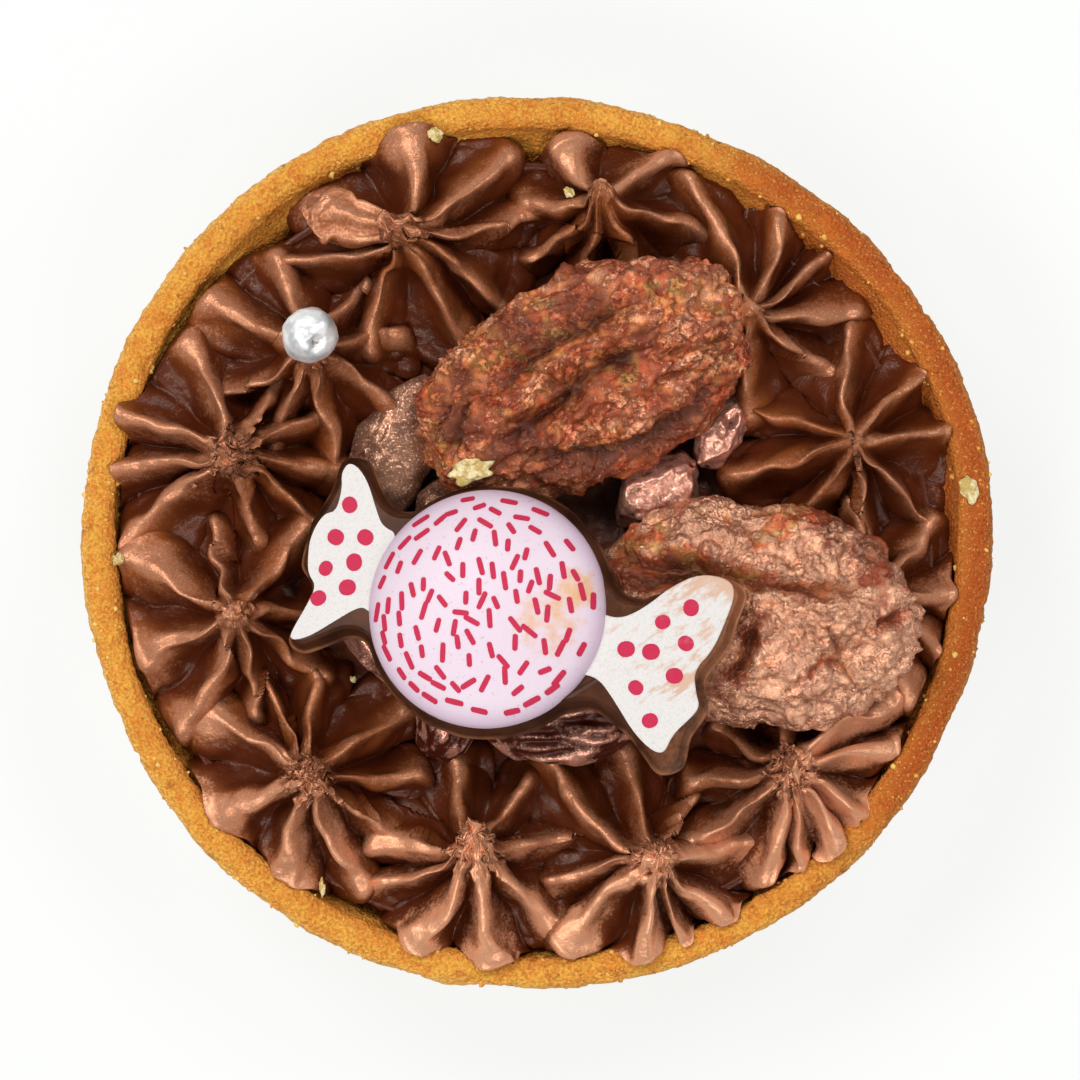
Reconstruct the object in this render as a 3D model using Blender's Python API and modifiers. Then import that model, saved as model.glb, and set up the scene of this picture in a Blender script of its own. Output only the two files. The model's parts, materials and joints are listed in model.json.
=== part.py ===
"""Praline tart, for Blender 4.5: metres, +Z up, origin at the centre of the case's flat underside.

A shortcrust case holds a chocolate filling. Twelve star-piped ganache rosettes stand on the filling
in a ring, pressed against each other and the case. Bronzed nuts lie in the middle, with two candied
pecan halves, a moulded chocolate plaque in the form of a wrapped sweet, and a silver sugar pearl.
"""

import math
import random

import bmesh
import bpy
from mathutils import Matrix, Vector, noise

MM = 0.001
GAP = 0.3 * MM  # clearance between pieces that touch
DENT_GROWTH = (0.35 * MM, 0.6 * MM)  # how much larger than a nut, and than a pecan, its dent is

# Pastry case
CASE_RADIUS = 40.5 * MM
CASE_FOOT_RADIUS = 35.5 * MM
CASE_HEIGHT = 19.0 * MM
CASE_WALL = 3.3 * MM
CASE_FLOOR = 3.2 * MM
RIM_ROUNDING = 1.3 * MM
# The hand-pressed case isn't quite round: (n, share of cos n a, share of sin n a) added to its radius
OUT_OF_ROUND = [(2, 0.0098, -0.0029), (3, 0.0045, 0.0029), (4, -0.0009, 0.0028), (5, -0.0012, 0.0025)]
RIM_UNEVENNESS = 0.22 * MM
CASE_SEGMENTS = 66

# Filling
FILLING_TOP = 14.6 * MM
FILLING_SEGMENTS = 40

# Rosettes: (bearing in degrees, distance from the axis, radius, ridges, swirl in degrees, peak pulled by x, y), mm
ROSETTES = [
    (110.9, 28.9, 12.4, 9, 10, (-9.6, 2.2)),
    (79.5, 28.4, 10.4, 8, -22, (1.2, 2.6)),
    (46.8, 27.9, 12.2, 9, 16, (-0.6, 0.6)),
    (18.0, 29.6, 12.4, 9, -6, (0.2, 0.3)),
    (-9.5, 30.0, 10.4, 9, 8, (0.0, 0.0)),
    (-39.9, 29.0, 12.0, 9, 12, (0.3, 0.2)),
    (-68.8, 29.2, 12.0, 10, -8, (0.9, 0.9)),
    (-100.6, 28.0, 11.6, 9, 8, (-0.2, 2.8)),
    (-134.4, 29.0, 12.0, 10, -8, (-0.2, 0.4)),
    (-166.0, 27.6, 11.6, 10, 6, (0.1, 0.1)),
    (-196.0, 28.3, 11.6, 9, -10, (0.3, 0.4)),
    (-221.2, 26.6, 11.8, 9, 8, (0.0, 0.0)),
]
ROSETTE_HEIGHT = 8.6 * MM
ROSETTE_BELLY = 1.8 * MM  # height of the widest level
PEAK_HEIGHT = 1.6 * MM
GROOVE_SHARE = 0.27  # how far a groove lies inside its ridges, as a share of the radius
GROOVE_DROP = 1.5 * MM
SAMPLES_PER_RIDGE = 3
ROSETTE_RINGS = 8
SKIRT = 0.82  # share of the rings that shape the outside; the rest close the foot
SQUEEZE_SOFTNESS = 0.35 * MM

# Pecans: (centre x, y, z), (half length, width, height), (yaw, pitch, roll) in degrees, mm
PECANS = {
    "pecan_1": ((4.35, 14.3, 21.1), (15.2, 8.9, 4.9), (24.5, 5.0, 11.0)),
    "pecan_2": ((19.3, -6.3, 21.6), (14.1, 9.5, 4.7), (-8.0, 3.0, -4.0)),
}
# Bronzed nuts, lying on the filling: (centre x, y), (half length, width, height), yaw in degrees, mm
NUTS = {
    "nut_1": ((-12.5, 8.1), (7.4, 3.4, 2.2), 64),
    "nut_2": ((-8.2, 0.0), (6.0, 2.6, 2.6), 95),
    "nut_3": ((10.9, 4.6), (4.4, 3.0, 2.8), 30),
    "nut_4": ((16.4, 9.9), (3.5, 2.2, 2.3), 62),
    "nut_5": ((-7.0, -14.2), (5.6, 3.0, 2.8), 67),
    "nut_6": ((2.6, -15.8), (6.9, 3.9, 3.1), 3),
    "nut_7": ((-13.4, -8.6), (5.4, 3.1, 2.6), -45),
}
PEARL_CENTRE = (-19.8, 18.2, 25.2)
PEARL_RADIUS = 2.45 * MM
PEARL_ROSETTE = 11  # index in ROSETTES of the one that carries the pearl

# Plaque, in its own frame: u along the sweet, w across it, n up out of its face
PLAQUE_CENTRE = (-3.8, -6.2, 23.6)
PLAQUE_TURN = (-18.7, 11.0, -5.0)  # yaw, right end up, far edge down, in degrees
DISC_RADIUS = 11.3 * MM
WING_OPENING = math.radians(33)  # half the angle of the disc's edge that a wing takes up
# Corners (u, w, rounding) in mm of each wing's outline, clockwise
RIGHT_WING = [
    (11.6, 4.8, 1.9), (17.8, 9.6, 2.0), (21.0, 9.3, 1.3), (21.0, 3.6, 1.6), (19.9, 0.5, 0.9),
    (21.2, -2.2, 1.1), (20.4, -4.9, 0.9), (20.8, -7.7, 1.1), (19.0, -9.0, 1.2), (15.4, -6.6, 3.0),
    (11.5, -5.1, 1.9),
]
LEFT_WING = [
    (-10.3, -5.4, 1.9), (-12.4, -7.2, 2.0), (-14.6, -8.9, 1.2), (-16.7, -8.8, 1.1), (-16.1, -5.2, 0.9),
    (-15.8, -3.0, 0.8), (-17.6, -1.7, 1.1), (-18.1, 2.1, 2.0), (-17.3, 5.6, 1.0), (-17.3, 9.0, 1.1),
    (-14.9, 9.3, 1.2), (-12.4, 6.8, 2.2), (-10.4, 5.3, 1.9),
]
PLAQUE_THICKNESS = 2.9 * MM
PLAQUE_LIP = 0.6 * MM
PLAQUE_BEVEL = 0.7 * MM
WING_FALL = 0.13  # the wings' top faces slope down by this much for each unit beyond the disc
DOME_RADIUS = 10.5 * MM
DOME_HEIGHT = 3.4 * MM

COLOURS = {  # base colour, roughness, metallic
    "shortcrust": ((0.66, 0.33, 0.065), 0.85, 0.0),
    "ganache": ((0.10, 0.030, 0.012), 0.38, 0.1),
    "candied_pecan": ((0.27, 0.09, 0.03), 0.42, 0.35),
    "bronzed_nut": ((0.30, 0.16, 0.10), 0.40, 0.6),
    "chocolate_plaque": ((0.13, 0.05, 0.022), 0.45, 0.0),
    "silver_pearl": ((0.75, 0.77, 0.78), 0.30, 0.6),
}


# ---------------------------------------------------------------- helpers


def clear_scene():
    for obj in list(bpy.data.objects):
        bpy.data.objects.remove(obj, do_unlink=True)


def new_collection(name, helper=False):
    collection = bpy.data.collections.new(name)
    collection.hide_render = helper
    bpy.context.scene.collection.children.link(collection)
    return collection


def material(name):
    found = bpy.data.materials.get(name)
    if found:
        return found
    made = bpy.data.materials.new(name)
    made.use_nodes = True
    shader = made.node_tree.nodes["Principled BSDF"]
    colour, roughness, metallic = COLOURS[name]
    shader.inputs["Base Color"].default_value = (*colour, 1.0)
    shader.inputs["Roughness"].default_value = roughness
    shader.inputs["Metallic"].default_value = metallic
    made.diffuse_color = (*colour, 1.0)
    return made


def add_object(name, mesh, collection, material_name=None):
    obj = bpy.data.objects.new(name, mesh)
    collection.objects.link(obj)
    if material_name:
        obj.data.materials.append(material(material_name))
        obj.data.shade_smooth()
        obj.data.set_sharp_from_angle(angle=math.radians(50))
    return obj


def mesh_of(name, shape):
    mesh = bpy.data.meshes.new(name)
    shape.to_mesh(mesh)
    shape.free()
    return mesh


def fillet_path(corners, step=math.radians(24), closed=False):
    """Corners (x, y, radius) joined by straight runs, each corner rounded by an arc of its radius."""
    path = []
    count = len(corners)
    for i, (x, y, radius) in enumerate(corners):
        here = Vector((x, y))
        if radius <= 0 or (not closed and i in (0, count - 1)):
            path.append(here)
            continue
        before = (Vector(corners[i - 1][:2]) - here).normalized()
        after = (Vector(corners[(i + 1) % count][:2]) - here).normalized()
        half = before.angle(after) / 2
        centre = here + (before + after).normalized() * radius / math.sin(half)
        start = here + before * radius / math.tan(half) - centre
        turn = math.pi - 2 * half
        if before.cross(after) > 0:
            turn = -turn
        steps = max(1, round(abs(turn) / step))
        for k in range(steps + 1):
            path.append(centre + Matrix.Rotation(turn * k / steps, 2) @ start)
    return path


def out_of_round(azimuth):
    """The case's radius at this azimuth, as a share of its mean radius."""
    return 1 + sum(c * math.cos(n * azimuth) + s * math.sin(n * azimuth) for n, c, s in OUT_OF_ROUND)


def turned(name, profile, segments, collection, material_name):
    """A profile of (radius, height) points turned about Z, then made a little out of round and uneven at the rim."""
    line = bpy.data.meshes.new(name + "_profile")
    edges = [(i, i + 1) for i in range(len(profile) - 1)]
    line.from_pydata([(p[0], 0.0, p[1]) for p in profile], edges, [])
    source = add_object(name + "_profile", line, collection)
    screw = source.modifiers.new("Turn", "SCREW")
    screw.steps = screw.render_steps = segments
    screw.use_merge_vertices = True
    screw.merge_threshold = 0.00001
    bpy.context.view_layer.update()
    graph = bpy.context.evaluated_depsgraph_get()
    mesh = bpy.data.meshes.new_from_object(source.evaluated_get(graph))
    bpy.data.objects.remove(source)
    for vertex in mesh.vertices:
        azimuth = math.atan2(vertex.co.y, vertex.co.x)
        high = max(0.0, vertex.co.z / CASE_HEIGHT - 0.8) / 0.2
        rise = noise.noise(Vector((math.cos(azimuth), math.sin(azimuth), 0.3)) * 2.6)
        vertex.co.x *= out_of_round(azimuth)
        vertex.co.y *= out_of_round(azimuth)
        vertex.co.z += RIM_UNEVENNESS * rise * high
    mesh.name = name
    return add_object(name, mesh, collection, material_name)


def ball_mesh(name, around, rings, place):
    """A UV sphere whose every vertex goes through place(unit vector)."""
    shape = bmesh.new()
    bmesh.ops.create_uvsphere(shape, u_segments=around, v_segments=rings, radius=1.0)
    for vertex in shape.verts:
        vertex.co = place(vertex.co.normalized())
    return mesh_of(name, shape)


def cut(obj, cutters):
    """Takes the cutters' shapes out of obj and keeps its largest piece."""
    for cutter in cutters:
        modifier = obj.modifiers.new("Dent", "BOOLEAN")
        modifier.operation = "DIFFERENCE"
        modifier.object = cutter
    bpy.context.view_layer.update()
    graph = bpy.context.evaluated_depsgraph_get()
    mesh = bpy.data.meshes.new_from_object(obj.evaluated_get(graph))
    obj.modifiers.clear()
    shape = bmesh.new()
    shape.from_mesh(mesh)
    bmesh.ops.remove_doubles(shape, verts=shape.verts, dist=0.01 * MM)
    bmesh.ops.triangulate(shape, faces=shape.faces)
    keep_largest(shape)
    shape.to_mesh(mesh)
    shape.free()
    obj.data = mesh


def keep_largest(shape):
    """Drops every loose scrap of a mesh but its biggest piece."""
    left = set(shape.verts)
    islands = []
    while left:
        island, front = set(), [left.pop()]
        while front:
            vertex = front.pop()
            island.add(vertex)
            for edge in vertex.link_edges:
                other = edge.other_vert(vertex)
                if other in left:
                    left.remove(other)
                    front.append(other)
        islands.append(island)
    islands.sort(key=len)
    scraps = [vertex for island in islands[:-1] for vertex in island]
    bmesh.ops.delete(shape, geom=scraps, context="VERTS")


def turn_matrix(yaw, pitch, roll):
    """Pitch lifts the +X end, roll lifts the +Y side, and yaw then turns about Z."""
    return (
        Matrix.Rotation(math.radians(yaw), 3, "Z")
        @ Matrix.Rotation(math.radians(-pitch), 3, "Y")
        @ Matrix.Rotation(math.radians(roll), 3, "X")
    )


# ---------------------------------------------------------------- pastry case and filling


def wall_slope():
    return (CASE_RADIUS - CASE_FOOT_RADIUS) / CASE_HEIGHT


def inner_radius(height):
    """Radius of the case's inner wall at this height, before it is made out of round."""
    return CASE_FOOT_RADIUS + wall_slope() * height - CASE_WALL


def pastry_case(collection):
    profile = fillet_path([
        (0, CASE_FLOOR, 0),
        (inner_radius(CASE_FLOOR), CASE_FLOOR, 2.0 * MM),
        (inner_radius(CASE_HEIGHT), CASE_HEIGHT, RIM_ROUNDING),
        (CASE_RADIUS, CASE_HEIGHT, RIM_ROUNDING),
        (CASE_FOOT_RADIUS, 0, 1.2 * MM),
        (0, 0, 0),
    ], step=math.radians(38))
    return turned("case", profile, CASE_SEGMENTS, collection, "shortcrust")


def filling(collection):
    foot = CASE_FLOOR + GAP
    profile = fillet_path([
        (0, FILLING_TOP, 0),
        (inner_radius(FILLING_TOP) - GAP - 0.1 * MM, FILLING_TOP, 0.6 * MM),
        (inner_radius(foot) - GAP - 0.1 * MM, foot, 2.4 * MM),
        (0, foot, 0),
    ], step=math.radians(32))
    return turned("filling", profile, FILLING_SEGMENTS, collection, "ganache")


# ---------------------------------------------------------------- rosettes


def rosette_centre(spec):
    bearing = math.radians(spec[0])
    distance = spec[1] * MM
    return Vector((distance * math.cos(bearing), distance * math.sin(bearing)))


def neighbour_planes(index):
    """(point, outward direction) of the upright planes where a rosette meets the next ones in the ring."""
    centre = rosette_centre(ROSETTES[index])
    radius = ROSETTES[index][2]
    planes = []
    for other in (index - 1, (index + 1) % len(ROSETTES)):
        towards = rosette_centre(ROSETTES[other]) - centre
        share = radius / (radius + ROSETTES[other][2])
        planes.append((centre + towards * share, towards.normalized()))
    return planes


def soft_limit(value, limit, softness=SQUEEZE_SOFTNESS):
    """value where it is well under limit, easing to just under limit where it is over."""
    over = (value - limit) / softness
    if over < -20:
        return value
    return limit - softness * math.log1p(math.exp(-over)) + 0.02 * softness * over


def squeeze(point, planes):
    """Presses a point of a rosette back behind its neighbours, the case's wall and the filling's top."""
    for on_plane, outward in planes:
        beyond = (point.xy - on_plane).dot(outward)
        point.xy += outward * (soft_limit(beyond, -0.6 * GAP) - beyond)
    azimuth = math.atan2(point.y, point.x)
    distance = point.xy.length
    over_rim = max(0.0, point.z - (CASE_HEIGHT - RIM_ROUNDING))
    room = inner_radius(min(point.z, CASE_HEIGHT)) - 1.4 * GAP
    if over_rim > 0:
        room += min(over_rim / (2.2 * RIM_ROUNDING), 1.0) ** 2 * 1.0 * MM
    if point.z > CASE_HEIGHT + 2.5 * GAP:
        room += 1.3 * MM
    point.xy *= soft_limit(distance, room * out_of_round(azimuth)) / distance
    return point


def rosette_mesh(name, index):
    """A star-piped rosette: sharp ridges meet at a pulled peak, with hollow grooves between them."""
    spec = ROSETTES[index]
    _, _, radius_mm, ridges, swirl, pull = spec
    radius = radius_mm * MM
    centre = rosette_centre(spec)
    planes = neighbour_planes(index)
    draw = random.Random(index + 1)
    start = draw.uniform(0, math.tau)
    step = math.tau / ridges
    bearings = [start + step * (i + draw.uniform(-0.16, 0.16)) for i in range(ridges)]
    strengths = [draw.uniform(0.86, 1.06) for _ in range(ridges)]
    foot = FILLING_TOP + GAP
    carries_pearl = index == PEARL_ROSETTE
    peak_height = 0.0 if carries_pearl else PEAK_HEIGHT

    def place(unit):
        t = math.acos(max(-1.0, min(1.0, unit.z))) / math.pi
        turn = (math.atan2(unit.y, unit.x) % math.tau) / step
        i = int(turn + 1e-6) % ridges
        f = turn - int(turn + 1e-6)
        following = bearings[i + 1] if i + 1 < ridges else bearings[0] + math.tau
        azimuth = bearings[i] + f * (following - bearings[i])
        strength = strengths[i] * (1 - f) + strengths[(i + 1) % ridges] * f
        s = min(t / SKIRT, 1.0)
        a = s * math.radians(106)
        from_ridge = 2 * min(f, 1 - f)
        ridge = (1 - from_ridge) ** (1.7 - 0.7 * s)
        out = radius * strength * math.sin(a) ** 0.95
        out *= 1 - GROOVE_SHARE * (1 - ridge)
        if a < math.pi / 2:
            height = ROSETTE_BELLY + (ROSETTE_HEIGHT - ROSETTE_BELLY) * math.cos(a) ** 0.9
        else:
            height = ROSETTE_BELLY * (1 + math.cos(a) / math.cos(math.radians(74)))
        height -= GROOVE_DROP * (1 - ridge) * math.sin(2 * min(a, math.pi / 2)) ** 0.8
        height += peak_height * math.exp(-((s / 0.10) ** 2))
        azimuth += math.radians(swirl) * (1 - s)
        if t > SKIRT:
            out *= (1 - t) / (1 - SKIRT)
            height = 0.0
        pulled = max(0.0, 1 - s / 0.42) ** 1.6
        point = Vector((
            centre.x + out * math.cos(azimuth) + pull[0] * MM * pulled,
            centre.y + out * math.sin(azimuth) + pull[1] * MM * pulled,
            foot + max(height, 0.0),
        ))
        point.z -= 0.22 * Vector(pull).length * MM * pulled
        return squeeze(point, planes)

    return ball_mesh(name, ridges * SAMPLES_PER_RIDGE, ROSETTE_RINGS + 1, place)


# ---------------------------------------------------------------- nuts and pearl


def pecan_form(unit):
    """A candied pecan half: a blunt oblong with grooves along its back and a lumpy crust."""
    blunt = sum(abs(c) ** 2.6 for c in unit) ** (-1 / 2.6)
    groove = sum(
        depth * math.exp(-(((unit.y - at - 0.08 * math.sin(3 * unit.x)) / 0.13) ** 2))
        for at, depth in ((0.30, 0.15), (-0.22, 0.11), (-0.66, 0.08))
    )
    lumps = 0.06 * noise.noise(unit * 2.3) + 0.035 * noise.noise(unit * 5.1 + Vector((4, 0, 0)))
    back = 1 - groove * max(unit.z, 0) ** 0.5
    return Vector((unit.x, unit.y * (1 + 0.08 * unit.x), unit.z * back)) * (0.96 * blunt + lumps)


def nut_form(unit):
    """A shelled nut, round at one end and tapering to a point at the other."""
    taper = 1 - 0.28 * max(unit.x, 0.0) ** 2
    return Vector((unit.x, unit.y * taper, unit.z * taper)) * (0.97 + 0.05 * noise.noise(unit * 2.0))


def nut_mesh(name, spec, form, around, rings, grow=0.0):
    """A nut with its long axis along its own X, grown by `grow` on every side for a cutter."""
    at, half, turn = spec
    turned_by = turn_matrix(*turn)

    def place(unit):
        # The sphere's poles go to the nut's two ends.
        shape = form(Vector((unit.z, unit.x, unit.y)))
        own = Vector([(h * MM + grow) * c for h, c in zip(half, shape)])
        return turned_by @ own + Vector(at) * MM

    return ball_mesh(name, around, rings, place)


def bronzed(spec):
    """A bronzed nut's centre, half sizes and turn, from its place on the filling."""
    (x, y), half, yaw = spec
    return (x, y, (FILLING_TOP + GAP) / MM + half[2]), half, (yaw, 0, 0)


def pearl_mesh(name, grow=0.0):
    def place(unit):
        lumps = 1 + 0.05 * noise.noise(unit * 1.6 + Vector((2.0, 1.0, 0.0)))
        return unit * (PEARL_RADIUS * lumps + grow) + Vector(PEARL_CENTRE) * MM

    return ball_mesh(name, 12, 8, place)


# ---------------------------------------------------------------- plaque


def plaque_outline(step):
    """The sweet's outline: a disc with a scalloped wing at each end, joined by rounded necks."""
    right, left = ([tuple(c * MM for c in corner) for corner in wing] for wing in (RIGHT_WING, LEFT_WING))

    def arc(first, last):
        count = round(abs(last - first) / math.radians(14))
        angles = [first + (last - first) * k / count for k in range(count + 1)]
        return [(DISC_RADIUS * math.cos(a), DISC_RADIUS * math.sin(a), 0) for a in angles]

    below = arc(-WING_OPENING, -math.pi + WING_OPENING)
    above = arc(math.pi - WING_OPENING, WING_OPENING)
    return fillet_path(right + below + left + above, step, closed=True)


def top_of_plaque(u):
    return PLAQUE_THICKNESS - WING_FALL * max(0.0, abs(u) - 0.85 * DISC_RADIUS)


def inset(path, by):
    """A closed path moved inwards by a fixed distance. The path runs clockwise."""
    moved = []
    for i, here in enumerate(path):
        along = (path[(i + 1) % len(path)] - path[i - 1]).normalized()
        moved.append(here + Vector((along.y, -along.x)) * by)
    return moved


def stacked(name, outline, layers):
    """A closed body on an outline, from (inset, height of u) layers, bottom to top."""
    shape = bmesh.new()
    rings = []
    for by, height in layers:
        ring = [shape.verts.new((p.x, p.y, height(p.x))) for p in inset(outline, by)]
        closing = [shape.edges.new((ring[i - 1], ring[i])) for i in range(len(ring))]
        if rings:
            bmesh.ops.bridge_loops(shape, edges=rings[-1] + closing)
        rings.append(closing)
    for ring in (rings[0], rings[-1]):
        bmesh.ops.triangle_fill(shape, edges=ring, use_beauty=True)
    bmesh.ops.recalc_face_normals(shape, faces=shape.faces)
    return mesh_of(name, shape)


def plaque_mesh(name):
    """The plaque: a thin lip, a sloping shoulder and a flat face that carries a round dome."""
    return stacked(name, plaque_outline(math.radians(34)), [
        (0, lambda u: 0),
        (0, lambda u: PLAQUE_LIP),
        (PLAQUE_BEVEL, lambda u: top_of_plaque(u) - 0.2 * MM),
        (1.4 * PLAQUE_BEVEL, top_of_plaque),
    ])


def plaque_dent_mesh(name):
    """A plain slab on the plaque's outline, a little larger all round."""
    grow = DENT_GROWTH[0]
    return stacked(name, plaque_outline(math.radians(60)), [
        (-grow, lambda u: -grow),
        (-grow, lambda u: top_of_plaque(u) + grow),
    ])


def dome_mesh(name):
    shape = bmesh.new()
    bmesh.ops.create_uvsphere(shape, u_segments=30, v_segments=9, radius=1.0)
    size = (DOME_RADIUS, DOME_RADIUS, DOME_HEIGHT + 0.3 * MM)
    bmesh.ops.scale(shape, verts=shape.verts, vec=size)
    bmesh.ops.translate(shape, verts=shape.verts, vec=(0, 0, PLAQUE_THICKNESS - 0.3 * MM))
    return mesh_of(name, shape)


def settle_plaque(obj):
    yaw, pitch, roll = PLAQUE_TURN
    place = Matrix.Translation(Vector(PLAQUE_CENTRE) * MM) @ turn_matrix(yaw, pitch, roll).to_4x4()
    obj.data.transform(place)


def plaque(collection, helpers):
    dome = add_object("dome", dome_mesh("dome"), helpers)
    obj = add_object("plaque", plaque_mesh("plaque"), collection, "chocolate_plaque")
    union = obj.modifiers.new("Dome", "BOOLEAN")
    union.operation = "UNION"
    union.object = dome
    bpy.context.view_layer.update()
    graph = bpy.context.evaluated_depsgraph_get()
    joined = bpy.data.meshes.new_from_object(obj.evaluated_get(graph))
    obj.modifiers.clear()
    obj.data = joined
    bpy.data.objects.remove(dome)
    settle_plaque(obj)
    return obj


# ---------------------------------------------------------------- assembly


def build():
    clear_scene()
    tart = new_collection("praline_tart")
    helpers = new_collection("cutters", helper=True)

    pastry_case(tart)
    filling(tart)
    plaque(tart, helpers)
    hard = {name: (spec, pecan_form, 28, 15) for name, spec in PECANS.items()}
    hard |= {name: (bronzed(spec), nut_form, 12, 8) for name, spec in NUTS.items()}
    for name, (spec, form, around, rings) in hard.items():
        kind = "candied_pecan" if form is pecan_form else "bronzed_nut"
        add_object(name, nut_mesh(name, spec, form, around, rings), tart, kind)
    add_object("pearl", pearl_mesh("pearl"), tart, "silver_pearl")

    # Cutters a little larger than the hard pieces press dents into the soft rosettes.
    pressed = []
    for name, (spec, form, around, rings) in hard.items():
        grow = DENT_GROWTH[form is pecan_form]
        mesh = nut_mesh(name + "_dent", spec, form, min(around, 18), min(rings, 10), grow)
        pressed.append((add_object(name + "_dent", mesh, helpers), spec[0], spec[1][0]))
    pearl_dent = add_object("pearl_dent", pearl_mesh("pearl_dent", grow=1.1 * GAP), helpers)
    pressed.append((pearl_dent, PEARL_CENTRE, PEARL_RADIUS / MM))
    plaque_dent = add_object("plaque_dent", plaque_dent_mesh("plaque_dent"), helpers)
    settle_plaque(plaque_dent)
    pressed.append((plaque_dent, PLAQUE_CENTRE, RIGHT_WING[2][0]))
    for dent, _, _ in pressed:
        dent.hide_render = True
        dent.display_type = "WIRE"

    for index, spec in enumerate(ROSETTES):
        name = f"rosette_{index + 1:02d}"
        rosette = add_object(name, rosette_mesh(name, index), tart, "ganache")
        centre = rosette_centre(spec)
        reach = [
            dent
            for dent, at, length in pressed
            if (Vector(at[:2]) * MM - centre).length < (spec[2] + length) * MM
        ]
        if reach:
            cut(rosette, reach)
    for dent, _, _ in pressed:
        bpy.data.objects.remove(dent)


build()
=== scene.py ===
"""A round praline tart, dressed over its plain solids.

Each operator makes one piece or one group of like pieces: the sandy shortcrust, the ganache and its
piped stars, the candied pecans, the bronzed nuts, the sweet-shaped plaque with its print, the sugar
pearl, the crumbs, and the stage. Tables are in millimetres and degrees; meshes are in metres.
"""

import json
import math
import random

import bmesh
import bpy
import numpy as np
from bpy.props import FloatProperty, FloatVectorProperty, IntProperty, PointerProperty
from mathutils import Matrix, Vector, noise

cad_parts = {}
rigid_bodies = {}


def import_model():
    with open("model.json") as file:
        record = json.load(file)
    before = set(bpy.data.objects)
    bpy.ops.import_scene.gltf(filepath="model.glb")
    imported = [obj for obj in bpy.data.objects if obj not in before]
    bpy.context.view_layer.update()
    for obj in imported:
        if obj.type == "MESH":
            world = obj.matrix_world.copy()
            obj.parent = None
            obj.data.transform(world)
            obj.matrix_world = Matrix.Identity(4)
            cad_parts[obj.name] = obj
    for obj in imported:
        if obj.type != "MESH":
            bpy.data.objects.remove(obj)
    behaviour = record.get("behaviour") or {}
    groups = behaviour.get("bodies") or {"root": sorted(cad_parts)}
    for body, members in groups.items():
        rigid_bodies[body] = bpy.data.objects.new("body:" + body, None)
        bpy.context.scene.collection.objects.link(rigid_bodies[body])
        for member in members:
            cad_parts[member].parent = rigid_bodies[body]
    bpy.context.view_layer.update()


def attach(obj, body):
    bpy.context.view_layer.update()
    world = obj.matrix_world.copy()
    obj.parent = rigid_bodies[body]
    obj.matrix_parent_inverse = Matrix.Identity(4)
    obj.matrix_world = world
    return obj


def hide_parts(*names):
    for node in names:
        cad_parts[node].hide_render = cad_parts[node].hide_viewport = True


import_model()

bl_info = {
    "name": "Praline Tart",
    "version": (1, 0, 0),
    "blender": (4, 5, 0),
    "location": "3D View > Sidebar > Tart",
    "description": "Dresses the plain solids of a praline tart",
    "category": "Add Mesh",
}

MM = 0.001

# ---------------------------------------------------------------- sizes of the pastry and filling

# How far the case is out of round: waves in a turn, with their cosine and sine shares of the radius.
OUT_OF_ROUND = [(2, 0.0098, -0.0029), (3, 0.0045, 0.0029), (4, -0.0009, 0.0028), (5, -0.0012, 0.0025)]
FOOT_SHARE = 0.877  # radius of the case's foot, as a share of its rim's
WALL = 3.3
THICKER_BELOW = 2.2  # how much thicker the wall gets below the rim
RIM_ROUNDING = 1.3
FLOOR = 3.2
FILLING_TOP = 14.9

# ---------------------------------------------------------------- the piped stars
# For each star: where its ridges meet, how far and which way its peak is pulled, how crumbled the peak is,
# how much bronze dust lies on it, and its ridges as (bearing of the tip, reach, bend, half breadth, height
# of the tip). A ridge leaves the peak at its bearing plus its bend.

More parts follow.
